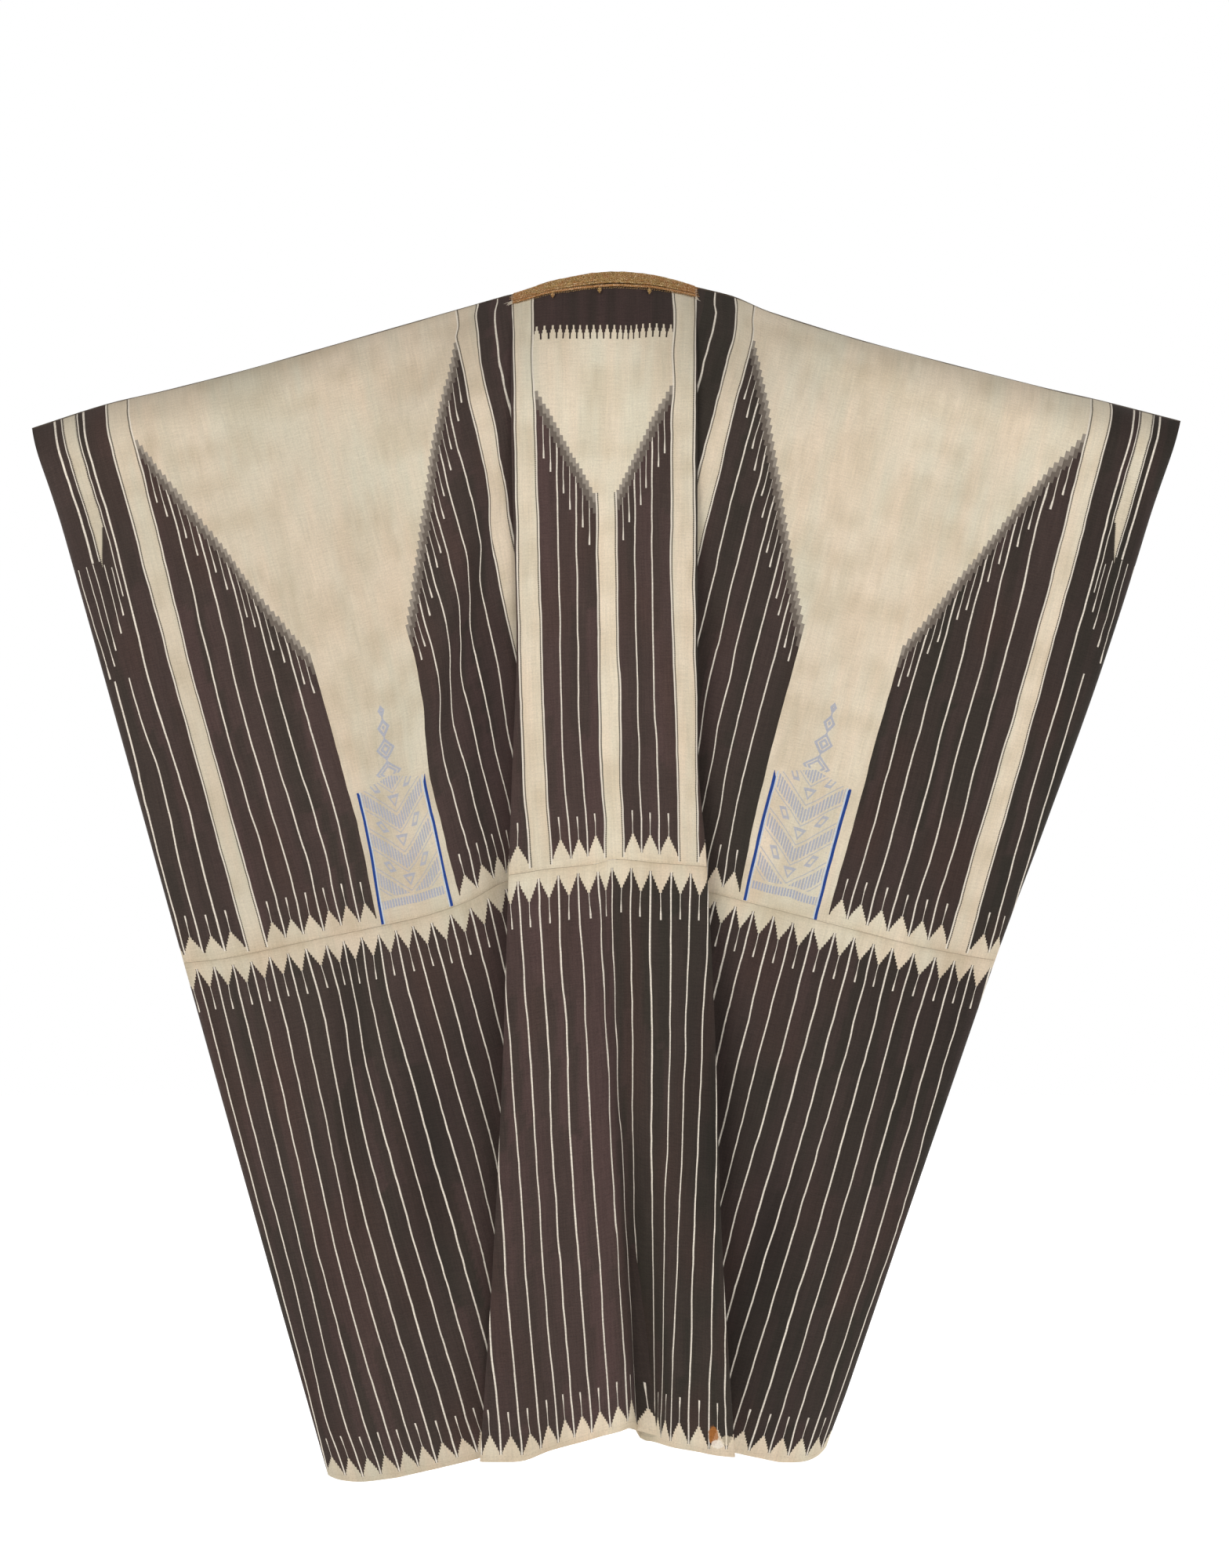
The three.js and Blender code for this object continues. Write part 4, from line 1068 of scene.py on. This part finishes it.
def lattice_zone(p, q, front):
    """Two blue bars, with hatched chevrons and small diamonds between them and a pile of lozenges above."""
    a = p.size()
    left = p > 0.0
    down = (q - BAR_TOP) / (UPPER_DEEP - BAR_TOP)
    span = (q > BAR_TOP) * (q < UPPER_DEEP - 1.0)
    bar_in = a - (left * (338.0 + down * 5.5) + (1 - left) * (341.5 - down * 3.5))
    bar_out = (left * (436.5 + down * 6.0) + (1 - left) * (434.0 - down * 0.5)) - a
    blue = line(bar_in, BAR_HALF) * (q > BAR_TOP + 3.0 + bar_in * 2.5) + line(bar_out, BAR_HALF) * (
        q > BAR_TOP - 2.0 + bar_out * 2.5)
    light = line(bar_in - 2.7, 0.8) + line(bar_out - 2.7, 0.8)
    between = (bar_in > 4.5) * (bar_out > 4.5)
    x = (bar_in / (bar_in + bar_out) - 0.5) * 90.0
    across = x.size()
    y = q - BAR_TOP
    stroke = (x / 3.6).fraction() < 0.62
    wave = ((y + across * 0.85) / LATTICE_PITCH + 0.32).fraction()
    chevron = wave.within(0.08, 0.42)
    gem = (((x / 22.5 + 0.5).fraction() - 0.5) * 22.5).size() + ((wave - 0.70) * LATTICE_PITCH).size() * 1.1
    gem = (gem * 0.5).floor() * 2.0
    ring = gem.within(3.0, 6.5) * (across < 38.0)
    rule = line((wave - 0.5) * LATTICE_PITCH, 0.8) + line((wave - 0.98) * LATTICE_PITCH, 0.8)
    foot = y > 127.0
    body = (stroke * chevron * 0.9 + ring * 0.8 + rule * 0.7) * (1 - foot)
    body = body + foot * stroke * (y > 130.5) * (y < 140.0)
    body = body * between * (y > across * 0.32 - 12.0)
    # Above the bars the lozenges stand on each other and grow smaller.
    climb = (q - TOWER_TOP) / (BAR_TOP - TOWER_TOP)
    stack = (climb.most(0.001).math("POWER", 0.72) * 4.0)
    wide = 3.0 + climb * 15.0
    lozenge = (stack.fraction() - 0.5).size() * 2.0
    inside = (1 - lozenge) * wide - across * 0.92
    inside = (inside * 0.6).floor() / 0.6
    shell = inside.within(-0.5, 2.4) + inside.within(5.0, 7.0) + (across < 0.9) * (lozenge > 0.6)
    tower = shell.least(1.0) * (climb > 0.0) * (y < -12.0) * 0.85
    beside = (a - OUTER_BLOCK[0]).most(INNER_BLOCK[1] - a)
    dark = (beside > 0.0) * (q < UPPER_DEEP - 12.0 - beside * 1.2)
    return {"Lattice": (body + tower).least(1.0), "Light blue": light * span, "Blue": blue * span,
            "Dark": dark}


HEM_TOOTH = {"Point": 9.0, "Tip": 27.5, "Spike_end": 55.0}
TOP_TOOTH = {"Point": 10.5, "Tip": 30.5, "Spike_end": 58.0}


def lower_zone(p, q, front):
    """Pinstripes on a dark ground between two rows of teeth."""
    turns = p / LOWER_PITCH
    nearest = (turns + 0.5).floor()
    stripe = line((turns - nearest) * LOWER_PITCH, 0.78 + chance(nearest, 4.0) * 0.2)
    upper_half = q < (UPPER_DEEP + LENGTH) / 2
    away = upper_half * (q - UPPER_DEEP) + (1 - upper_half) * (LENGTH - q)
    teeth = use_group(TOOTH_ROW, Turns=turns, Away=away, Pitch=LOWER_PITCH,
                      **{label: HEM_TOOTH[label] + upper_half * (TOP_TOOTH[label] - HEM_TOOTH[label])
                         for label in HEM_TOOTH})
    dark = 1 - teeth["Cream"]
    return {"Dark": dark, "Pale": (stripe + teeth["Spike"]).least(1.0) * dark}


# ---------------------------------------------------------------- colour and surface of the cloth


def yarn_grain_group():
    """Shade of single yarns: flecks, and fine streaks along weft and warp, around 1."""
    wire, finish = node_group("yarn grain", ("P", "Q", "Depth"), ("Shade", "Fleck"))
    p, q = wire["P"], wire["Q"]
    fleck = noise(place(p / 1.5, q / 2.0, 2.0), 1.0, 1.0)
    weft = noise(place(p / 17.0, q / 1.4, 4.0), 1.0, 1.0)
    streak = noise(place(p / 2.2, q / 48.0, 6.0), 1.0, 1.0)
    grain = (fleck - 0.5) * 0.9 + (weft - 0.5) * 0.55 + (streak - 0.5) * 0.6
    return finish(1 + grain * wire["Depth"], fleck)


WARP_PITCH, WEFT_PITCH = 1.3, 1.0


def weave_group():
    """Height of the weave in mm: ribs of warp and weft, thick and thin yarns."""
    wire, finish = node_group("tapestry weave", ("P", "Q"), ("Height",))
    p, q = wire["P"], wire["Q"]
    wander = noise(place(p / 8.0, q / 2.2, 1.0), 1.0, 1.0)
    warp = (p * (math.tau / WARP_PITCH)).math("SINE")
    weft = (q * (math.tau / WEFT_PITCH) + wander * 5.0).math("SINE")
    return finish(warp * weft * 0.05 + wander * 0.42)


YARN_GRAIN = yarn_grain_group()
WEAVE = weave_group()


def new_surface(name):
    """A new material, its node tree and its shader."""
    material = bpy.data.materials.new(name)
    material.use_nodes = True
    return material, material.node_tree, material.node_tree.nodes["Principled BSDF"]


def feed_inputs(shader, values):
    for label, value in values.items():
        feed(shader.inputs[label], value)


def raise_surface(shader, height, strength, distance):
    """Bump from a height, with its distance in mm."""
    bump = height.tree.nodes.new("ShaderNodeBump")
    feed_inputs(bump, {"Strength": strength, "Distance": distance * MM, "Height": height})
    feed(shader.inputs["Normal"], Wire(height.tree, bump.outputs[0]))


def own_colour(tree, name):
    node = tree.nodes.new("ShaderNodeAttribute")
    node.attribute_name = name
    return Wire(tree, node.outputs["Color"])


# A rust stain where one tooth of the hem was torn, and frayed pale patches beside it:
# p, q, half width, half height, colour, strength.
STAINS = ((-165.5, 1308.0, 7.0, 11.0, "a4662f", 0.85), (-171.0, 1317.0, 9.0, 5.0, "eae0d2", 0.75),
          (-184.0, 1313.0, 9.0, 6.0, "d8c8ad", 0.6))
STEP_GREYS = ("91877b", "695f56")
OUTLINE = "37322f"
WHITE_YARN = "ddd3c4"
LAVENDER, PALE_BLUE, COBALT = "9ba1b6", "b7c8da", "1f3f84"
SEAM_SHADE, STITCH = "54473b", "8a7360"


def cloth_material(name, zone, seam_at, stained=False):
    """Tapestry cloth: colours from the piece's own attributes, which hold dye, soil and painted light and
    shade, the zone's woven marks and the weave.
    """
    material, tree, shader = new_surface(name)
    node = tree.nodes.new("ShaderNodeUVMap")
    node.uv_map = "cloth"
    raw, q = axes_in_mm(Wire(tree, node.outputs[0]), 2)
    front = raw > FRONT_SHIFT / 2
    p = raw - front * FRONT_SHIFT
    marks = zone(p, q, front) if zone else {}
    depth = 0.34 + marks["Dark"] * 0.42 if marks else 0.34
    grain = use_group(YARN_GRAIN, P=p, Q=q, Depth=depth)
    colour = own_colour(tree, "cream")
    if "Dark" in marks:
        colour = blend_colour(marks["Dark"], colour, own_colour(tree, "dark"))
    if "Grey" in marks:
        grey = blend_colour(marks["Tone"], *map(linear, STEP_GREYS))
        colour = blend_colour(marks["Grey"], colour, grey)
    if "Dots" in marks:
        colour = blend_colour(marks["Dots"], colour, linear(OUTLINE))
    if "Lattice" in marks:
        colour = blend_colour(marks["Lattice"] * 0.85, colour, linear(LAVENDER))
        colour = blend_colour(marks["Light blue"] * 0.8, colour, linear(PALE_BLUE))
        colour = blend_colour(marks["Blue"], colour, linear(COBALT))
    if "Pale" in marks:
        colour = blend_colour(marks["Pale"].least(1.0), colour, linear(WHITE_YARN))
    if stained:
        ragged = noise(place(p / 2.6, q / 2.6, 9.0), 1.0, 2.0) * 1.1
        for at_p, at_q, wide, high, code, strength in STAINS:
            x, y = (p - at_p) / wide, (q - at_q) / high
            patch = (x * x + y * y + ragged).rise(1.6, 1.25) * (1 - front)
            colour = blend_colour(patch * strength, colour, linear(code))
    colour = blend_colour(q.rise(4.2, 1.8) * 0.85, colour, linear(SEAM_SHADE))
    stitch = line(seam_at - q, 0.4) * ((p / 4.4).fraction() < 0.6)
    colour = blend_colour(stitch * 0.2, colour, linear(STITCH))
    scale = tree.nodes.new("ShaderNodeVectorMath")
    scale.operation = "SCALE"
    feed(scale.inputs[0], colour)
    feed(scale.inputs["Scale"], grain["Shade"])
    raise_surface(shader, use_group(WEAVE, P=p, Q=q)["Height"], 0.85, 1)
    feed_inputs(shader, {
        "Base Color": Wire(tree, scale.outputs[0]), "Roughness": 0.76 + grain["Fleck"] * 0.2,
        "Specular IOR Level": 0.2, "Sheen Weight": 0.07, "Sheen Roughness": 0.5,
        "Sheen Tint": linear("e6dccf"),
    })
    return material


def gilt_thread_group():
    """Metal-wrapped thread: bright wraps with painted highlights and glints, rubbed copper-red places and
    dark gaps between wraps with painted shade.
    """
    wire, finish = node_group("gilt thread", ("Place", "Rubbed"), ("Colour", "Metal", "Rough", "Height"))
    x, y, z = axes_in_mm(wire["Place"], 3)
    wraps = noise(place(x / 1.05, y / 0.9, z / 0.8), 1.0, 2.0)
    patch = noise(place(x / 9.0, y / 9.0, z / 5.0), 1.0, 3.0)
    worn = (patch + wire["Rubbed"] * 0.22 + x.size().rise(80.0, 104.0) * 0.3).rise(0.42, 0.68)
    # Painted light: the dark gaps between wraps are painted shade, the bright wraps painted highlight, and
    # the near-white touches painted glints.
    colour = blend_colour(wraps.rise(0.36, 0.62), linear("6f4b1f"), linear("d9b06c"))
    colour = blend_colour(worn * 0.55, colour, linear("ad6c38"))
    colour = blend_colour(wraps.rise(0.57, 0.68) * 0.85, colour, linear("fff3d4"))
    return finish(colour, 0.62 - worn * 0.3, 0.34 + worn * 0.25 + (1 - wraps) * 0.12, wraps)


GILT_THREAD = gilt_thread_group()


def gilt_material(name, rubbed):
    material, tree, shader = new_surface(name)
    where = Wire(tree, tree.nodes.new("ShaderNodeTexCoord").outputs["Object"])
    gilt = use_group(GILT_THREAD, Place=where, Rubbed=rubbed)
    feed_inputs(shader, {"Base Color": gilt["Colour"], "Metallic": gilt["Metal"], "Roughness": gilt["Rough"]})
    raise_surface(shader, gilt["Height"], 0.9, 0.35)
    return material


def yarn_material(name, pale, deep):
    """Plain spun yarn for stitches and frayed ends."""
    material, tree, shader = new_surface(name)
    where = Wire(tree, tree.nodes.new("ShaderNodeTexCoord").outputs["Object"])
    fibres = noise(where, 900.0, 3.0)
    feed_inputs(shader, {"Base Color": blend_colour(fibres.rise(0.3, 0.7), linear(deep), linear(pale)),
                         "Roughness": 0.85, "Specular IOR Level": 0.3})
    raise_surface(shader, fibres, 0.5, 0.2)
    return material


# ---------------------------------------------------------------- threads and gilt trim

BRAID_FROM, BRAID_TO = 0.9, 13.4
FIRST_CORD = 16.3
SECOND_CORD = 20.4
CORD_THICK = 3.2
TRIM_HALF = 105.0
KNOT_PLACES = (58, 5, -51)
KNOT_SIZE = 5.5


def neck_place(x, down, out):
    """Points on the outer face of the back neck, each down and out from the edge."""
    x, down, out = np.broadcast_arrays(*(np.atleast_1d(np.asarray(a, float)) for a in (x, down, out)))
    points = np.zeros((len(x), 3))
    for side in (LEFT, RIGHT):
        chosen = (x >= 0) if side == LEFT else (x < 0)
        if not chosen.any():
            continue
        u, v = np.abs(x[chosen]), np.maximum(down[chosen], 0)
        at = middle_point(BACK, side, u, v)
        sideways, downwards = middle_point(BACK, side, u + 2, v) - at, middle_point(BACK, side, u, v + 2) - at
        outward = np.cross(sideways, downwards) * side
        outward /= np.linalg.norm(outward, axis=1)[:, None]
        above = np.minimum(down[chosen], 0)
        points[chosen] = at + outward * out[chosen][:, None] - np.outer(above, (0, 0, 1))
    return points


def cloth_place(side, u, v, out):
    """Points on the outer face of a wing's back."""
    u, v, out = np.broadcast_arrays(*(np.atleast_1d(np.asarray(a, float)) for a in (u, v, out)))
    at = wing_point(BACK, side, u, v)
    at[:, 1] += (crease_height(BACK, side, u, v) + sway(BACK, side, u, v)) * clamp01(
        (NECK_HALF + along(SIDE_FOLD[side], v) - u) / 60) + out
    return at


def threads_piece(name, strands, material, thick, roundness=1):
    """Round threads along paths in mm, each with a share of the thickness at every point, as one mesh."""
    curve = bpy.data.curves.new(name, "CURVE")
    curve.dimensions = "3D"
    curve.bevel_depth = thick / 2 * MM
    curve.bevel_resolution = roundness
    curve.use_fill_caps = True
    for path, shares in strands:
        path = np.asarray(path, float)
        spline = curve.splines.new("POLY")
        spline.points.add(len(path) - 1)
        spline.points.foreach_set("co", np.column_stack([path * MM, np.ones(len(path))]).ravel())
        spline.points.foreach_set("radius", np.broadcast_to(np.asarray(shares, float), len(path)).copy())
    shape = bpy.data.objects.new(name + "_paths", curve)
    scene.collection.objects.link(shape)
    mesh = bpy.data.meshes.new_from_object(shape.evaluated_get(bpy.context.evaluated_depsgraph_get()))
    bpy.data.objects.remove(shape)
    mesh.name = name
    mesh.materials.clear()
    mesh.materials.append(material)
    mesh.shade_smooth()
    piece = bpy.data.objects.new(name, mesh)
    scene.collection.objects.link(piece)
    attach(piece, "root")
    return piece


def frayed(rng, start, ahead, length, droop, wander):
    """A loose thread end that leaves along a direction, wanders and thins out."""
    count = 9
    t = np.linspace(0, 1, count)
    ahead = np.asarray(ahead, float) / np.linalg.norm(ahead)
    path = np.asarray(start, float) + np.outer(t * length, ahead)
    path[:, 2] -= droop * t**2
    for axis in range(3):
        path[:, axis] += wander * rng.uniform(-1, 1) * np.sin(t * rng.uniform(2, 6)) * t
    return path, np.linspace(1, 0.35, count)


def build_braid(gold):
    """A flat plait of seven gilt strands, each going over and under the ones it crosses."""
    count, period = 7, 15.0
    middle, half = (BRAID_FROM + BRAID_TO) / 2, (BRAID_TO - BRAID_FROM) / 2 - 0.9
    x = np.linspace(TRIM_HALF, -TRIM_HALF, 420)
    rng = np.random.default_rng(3)
    strands = []
    for k in range(count):
        drift = 0.03 * np.sin(x / rng.uniform(13, 22) + rng.uniform(0, 6))
        phase = x / period + k / count + drift
        turn = phase - np.floor(phase)
        zigzag = 1 - 4 * np.abs(turn - 0.5)
        zigzag = np.sin(zigzag * math.pi / 2 * 0.9) / math.sin(math.pi / 2 * 0.9)
        over = np.tanh(4 * np.sin(math.tau * phase)) * np.cos(math.tau * count * phase)
        out = CLOTH / 2 + JOIN + 1.0 + 0.55 * over
        strands.append((neck_place(x, middle + half * zigzag, out),
                        1 + 0.1 * np.sin(x / rng.uniform(2, 5) + rng.uniform(0, 6))))
    for down in (BRAID_FROM + 0.2, BRAID_TO - 0.2):
        out = CLOTH / 2 + JOIN + 0.7 + 0.15 * np.sin(x / 1.9)
        strands.append((neck_place(x, down + 0.2 * np.sin(x / 3.1), out), 0.8))
    piece = threads_piece("neck_braid_plait", strands, gold, 1.75)
    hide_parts("neck_braid")
    return piece


def build_cord(name, node, down, seed, gold):
    """Three gilt strands twisted together and couched down along the neck."""
    x = np.linspace(TRIM_HALF, -TRIM_HALF, 460)
    rng = np.random.default_rng(seed)
    radius, pitch = 0.78, 7.2
    wave = 0.25 * np.sin(x / 17 + seed) + 0.15 * np.sin(x / 7.3)
    twist = x / pitch + 0.1 * np.sin(x / 23 + seed)
    strands = []
    for k in range(3):
        angle = math.tau * (twist + k / 3)
        out = CLOTH / 2 + JOIN + CORD_THICK / 2 - 0.1 + radius * np.sin(angle)
        strands.append((neck_place(x, down + wave + radius * np.cos(angle), out),
                        1 + 0.08 * np.sin(x / rng.uniform(2, 4))))
    piece = threads_piece(name, strands, gold, 1.6)
    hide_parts(node)
    return piece


def build_knot(number, x, gold):
    """A small tear-shaped knot of wound thread on a short loop, with a few cut ends below."""
    down = SECOND_CORD + CORD_THICK / 2 + 4.2
    seat = CLOTH / 2 + JOIN + KNOT_SIZE * 0.47
    at, lower, outer = neck_place((x, x, x), (down, down + 2, down), (seat, seat, seat + 2))
    along_down = (lower - at) / np.linalg.norm(lower - at)
    outward = (outer - at) / np.linalg.norm(outer - at)
    across = np.cross(along_down, outward)
    rng = np.random.default_rng(20 + number)
    strands = []
    turns, points = 9, 190
    t = np.linspace(0, 1, points)
    swell = np.sin(math.pi * (0.04 + 0.92 * t)) ** 0.8 * (0.72 + 0.4 * t)
    radius = (KNOT_SIZE / 2 - 0.45) * swell
    angle = math.tau * turns * t
    path = (at + np.outer(mix(-3.2, 2.9, t), along_down) + np.outer(radius * np.cos(angle), across)
            + np.outer(radius * 0.82 * np.sin(angle), outward))
    strands.append((path, 1.0))
    core = at + np.outer(np.linspace(-2.7, 2.4, 9), along_down)
    strands.append((core, np.array([1.2, 2.4, 3.2, 3.8, 4.2, 4.4, 4.0, 3.0, 1.4])))
    for side in (-1, 1):
        lift = np.linspace(0, 1, 7)
        loop = (at + np.outer(-3.0 - 3.6 * lift, along_down)
                + np.outer(side * 0.6 * np.sin(math.pi * lift), across) - np.outer(0.9 * lift, outward))
        strands.append((loop, 0.9))
    for _ in range(7):
        lean = along_down + across * rng.uniform(-0.35, 0.35) - outward * rng.uniform(0, 0.2)
        strands.append(frayed(rng, at + along_down * 2.6 + across * rng.uniform(-0.5, 0.5), lean,
                              rng.uniform(1.6, 2.8), 0, 0.2))
    piece = threads_piece(f"gold_knot_{number}_wound", strands, gold, 0.72)
    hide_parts(f"gold_knot_{number}")
    return piece


def build_trim_stitches(yarn):
    """The row of small stitches that holds the lower cord down, and a few between the cords."""
    rng = np.random.default_rng(5)
    strands = []
    for down, step, high in ((SECOND_CORD + 2.1, 2.7, 0.55), (FIRST_CORD - 2.0, 3.4, 0.5)):
        x = -TRIM_HALF + 3
        while x < TRIM_HALF - 2:
            length = rng.uniform(1.1, 1.7)
            across = np.linspace(x, x + length, 4)
            lift = CLOTH / 2 + 0.25 + high * np.array([0, 1, 1, 0])
            at = down + rng.uniform(-0.25, 0.25) + 0.3 * np.linspace(-1, 1, 4)
            strands.append((neck_place(across, at, lift), rng.uniform(0.8, 1.1)))
            x += step * rng.uniform(0.85, 1.2)
    piece = threads_piece("trim_stitches", strands, yarn, 0.75)
    return piece


def build_trim_ends(gold, pale):
    """Both ends of the braid and cords: strands turned under, and loose ends over the shoulder."""
    rng = np.random.default_rng(8)
    strands, loose = [], []
    for side in (LEFT, RIGHT):
        for k in range(9):
            down = 1.5 + 2.4 * k + rng.uniform(-0.4, 0.4)
            start = neck_place(side * (TRIM_HALF - 1.0), down, CLOTH / 2 + JOIN + 0.8)[0]
            ahead = (side * 1.0, -0.25, -0.24 + rng.uniform(-0.12, 0.1))
            strands.append(frayed(rng, start, ahead, rng.uniform(3, 7.5), 0.6, 0.7))
    for k in range(5):
        start = neck_place(TRIM_HALF + 1, 17 + k * 1.3, CLOTH / 2 + 1.3)[0]
        ahead = (1, -0.1, -0.33 + rng.uniform(-0.08, 0.08))
        loose.append(frayed(rng, start, ahead, rng.uniform(8, 15), 1.5, 1.2))
    for k in range(4):
        start = neck_place(-TRIM_HALF - 0.5, 19 + k * 1.2, CLOTH / 2 + 1.3)[0]
        ahead = (-0.8, -0.05, -0.7 + rng.uniform(-0.2, 0.2))
        loose.append(frayed(rng, start, ahead, rng.uniform(5, 9), 1, 1.0))
    ends = threads_piece("braid_ends", strands, gold, 1.3)
    wisps = threads_piece("braid_wisps", loose, pale, 0.8)
    return [ends, wisps]


def build_shoulder_stitches(yarn):
    """Whip stitches over the shoulder seams, from back to front."""
    rng = np.random.default_rng(11)
    strands = []
    for side in (LEFT, RIGHT):
        u = NECK_HALF + 6
        last = NECK_HALF + float(along(SIDE_FOLD[side], 0.0)) - 4
        while u < last:
            lean = rng.uniform(1.0, 1.8)
            back = cloth_place(side, (u, u + lean * 0.3, u + lean * 0.5), (3.6, 1.6, 0.0), (0.95, 1.0, 0.5))
            over = wing_point(BACK, side, u + lean * 0.6, 0.0) + (0, -0.8, 0.45)
            front = wing_point(FRONT, side, np.array([u + lean * 0.8, u + lean]), np.array([1.4, 3.2]))
            front[:, 1] -= (crease_height(FRONT, side, u, 2.0) + sway(FRONT, side, u, 2.0)) + 0.95
            strands.append((np.concatenate([back, [over], front]), rng.uniform(0.85, 1.1)))
            u += rng.uniform(4.6, 6.2)
    piece = threads_piece("shoulder_stitches", strands, yarn, 0.6)
    return piece


# ---------------------------------------------------------------- stage, lights and camera

FLOOR_Z = -1.53
FLOOR_HALF = 5.7
FLOOR_GLOW = 0.62
AIR_LIGHT = 0.42
WHITE = (1, 1, 1, 1)
# Soft boxes: name, place, aim, width and height, watts, tint.
LIGHTS = (("key softbox", (2.3, 3.2, 1.5), (0, 0, -0.6), (1.8, 1.8), 57, (1.0, 0.985, 0.965)),
          ("fill softbox", (-2.8, 3.0, 0.4), (0, 0, -0.7), (2.0, 2.2), 28, (0.97, 0.985, 1.0)),
          ("front softbox", (-1.6, -3.4, 1.3), (0, 0, -0.6), (2.2, 2.2), 52, (1.0, 0.99, 0.98)))
EYE = Vector((-0.012, 3.6, -0.578))
LENS = 70.05


def set_stage():
    """A plain pale floor, with a faint glow that keeps it as white as the background."""
    bm = bmesh.new()
    bmesh.ops.create_grid(bm, x_segments=4, y_segments=4, size=FLOOR_HALF)
    bmesh.ops.translate(bm, verts=bm.verts, vec=(0, 0, FLOOR_Z))
    mesh = bpy.data.meshes.new("studio_floor")
    bm.to_mesh(mesh)
    bm.free()
    floor = bpy.data.objects.new("studio_floor", mesh)
    scene.collection.objects.link(floor)
    paper, _, shader = new_surface("pale paper")
    feed_inputs(shader, {"Base Color": (0.93, 0.93, 0.93, 1), "Roughness": 0.95, "Specular IOR Level": 0.1,
                         "Emission Color": WHITE, "Emission Strength": FLOOR_GLOW})
    paper.cycles.emission_sampling = "NONE"
    mesh.materials.append(paper)


def soft_light(name, place_at, aim, size, watts, tint):
    lamp = bpy.data.lights.new(name, "AREA")
    lamp.shape = "RECTANGLE"
    lamp.size, lamp.size_y = size
    lamp.energy = watts
    lamp.color = tint
    holder = bpy.data.objects.new(name, lamp)
    holder.location = place_at
    holder.rotation_euler = (Vector(aim) - Vector(place_at)).to_track_quat("-Z", "Y").to_euler()
    scene.collection.objects.link(holder)


def set_lights_and_camera():
    for row in LIGHTS:
        soft_light(*row)
    world = bpy.data.worlds.new("studio air")
    world.use_nodes = True
    tree = world.node_tree
    air = tree.nodes["Background"]
    feed_inputs(air, {"Color": WHITE, "Strength": AIR_LIGHT})
    seen = tree.nodes.new("ShaderNodeBackground")
    feed(seen.inputs["Color"], WHITE)
    choose = tree.nodes.new("ShaderNodeMixShader")
    path = tree.nodes.new("ShaderNodeLightPath")
    for slot, source in zip(choose.inputs, (path.outputs["Is Camera Ray"], air.outputs[0], seen.outputs[0])):
        tree.links.new(source, slot)
    tree.links.new(choose.outputs[0], tree.nodes["World Output"].inputs[0])
    scene.world = world
    scene.view_settings.view_transform = "Standard"
    scene.cycles.max_bounces = 3
    scene.cycles.diffuse_bounces = 2
    scene.cycles.glossy_bounces = 1
    scene.cycles.adaptive_threshold = 0.05
    lens = bpy.data.cameras.new("camera")
    lens.lens = LENS
    camera = bpy.data.objects.new("camera", lens)
    camera.location = EYE
    camera.rotation_euler = (math.radians(90), 0, math.radians(180))
    scene.collection.objects.link(camera)
    scene.camera = camera


# ---------------------------------------------------------------- the robe, put together


ROW_DEEP = 5.85


def row_levels(start, end, through=()):
    """v of each row of the mesh from start to end, with rows exactly at the places given."""
    stops = [start, *through, end]
    levels = [start]
    for low, high in zip(stops, stops[1:]):
        count = max(1, round((high - low) / ROW_DEEP))
        levels += [low + (high - low) * k / count for k in range(1, count + 1)]
    return levels


set_stage()
set_lights_and_camera()

UPPER_ZONES = (("middle", middle_zone), ("first strip", first_strip_zone), ("inner block", inner_block_zone),
               ("plain", None), ("lattice", lattice_zone), ("outer block", outer_block_zone),
               ("side", side_zone))


# Where the lattice takes the place of plain cream, and the borders across, above (False) and below it.
# All run through plain cream.
LATTICE_FROM = 438
ZONE_BORDERS = {False: (95, 174.5, 336, 443, 602), True: (95, 174.5, 332, 447, 602)}


def upper_zone(a, q):
    """Which of UPPER_ZONES a place of the upper width is in."""
    in_lattice = q >= LATTICE_FROM
    across = sum(a >= border for border in ZONE_BORDERS[in_lattice])
    return (0, 1, 2, 4 if in_lattice else 3, 5, 6)[across]


upper_rows = row_levels(0.0, UPPER_DEEP - JOIN / 2, (HAND_SLIT,))
upper = cloth_piece("upper_loom_width_cloth", upper_rows, False, upper_zone)
for zone_name, zone in UPPER_ZONES:
    upper.data.materials.append(cloth_material(f"upper tapestry, {zone_name}", zone, UPPER_DEEP - 1.6))
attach(upper, "root")
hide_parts("upper_loom_width")

lower = cloth_piece("lower_loom_width_cloth", row_levels(UPPER_DEEP + JOIN / 2, LENGTH), True)
lower.data.materials.append(cloth_material("lower tapestry", lower_zone, LENGTH - 5.5, stained=True))
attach(lower, "root")
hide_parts("lower_loom_width")

bright_gilt = gilt_material("gilt thread, bright", 0.0)
rubbed_gilt = gilt_material("gilt thread, rubbed", 1.0)
pale_yarn = yarn_material("pale stitching yarn", "efe4d2", "cbbba4")
brown_yarn = yarn_material("brown stitching yarn", "8d7a60", "5a4a3a")
gold_yarn = yarn_material("gold stitching yarn", "c2a070", "86653a")

braid = build_braid(bright_gilt)
upper_cord = build_cord("neck_cord_upper_twisted", "neck_cord_upper", FIRST_CORD, 31, bright_gilt)
lower_cord = build_cord("neck_cord_lower_twisted", "neck_cord_lower", SECOND_CORD, 32, rubbed_gilt)
knots = [build_knot(i + 1, x, bright_gilt) for i, x in enumerate(KNOT_PLACES)]
stitches = build_trim_stitches(gold_yarn)
ends = build_trim_ends(rubbed_gilt, pale_yarn)
shoulders = build_shoulder_stitches(brown_yarn)
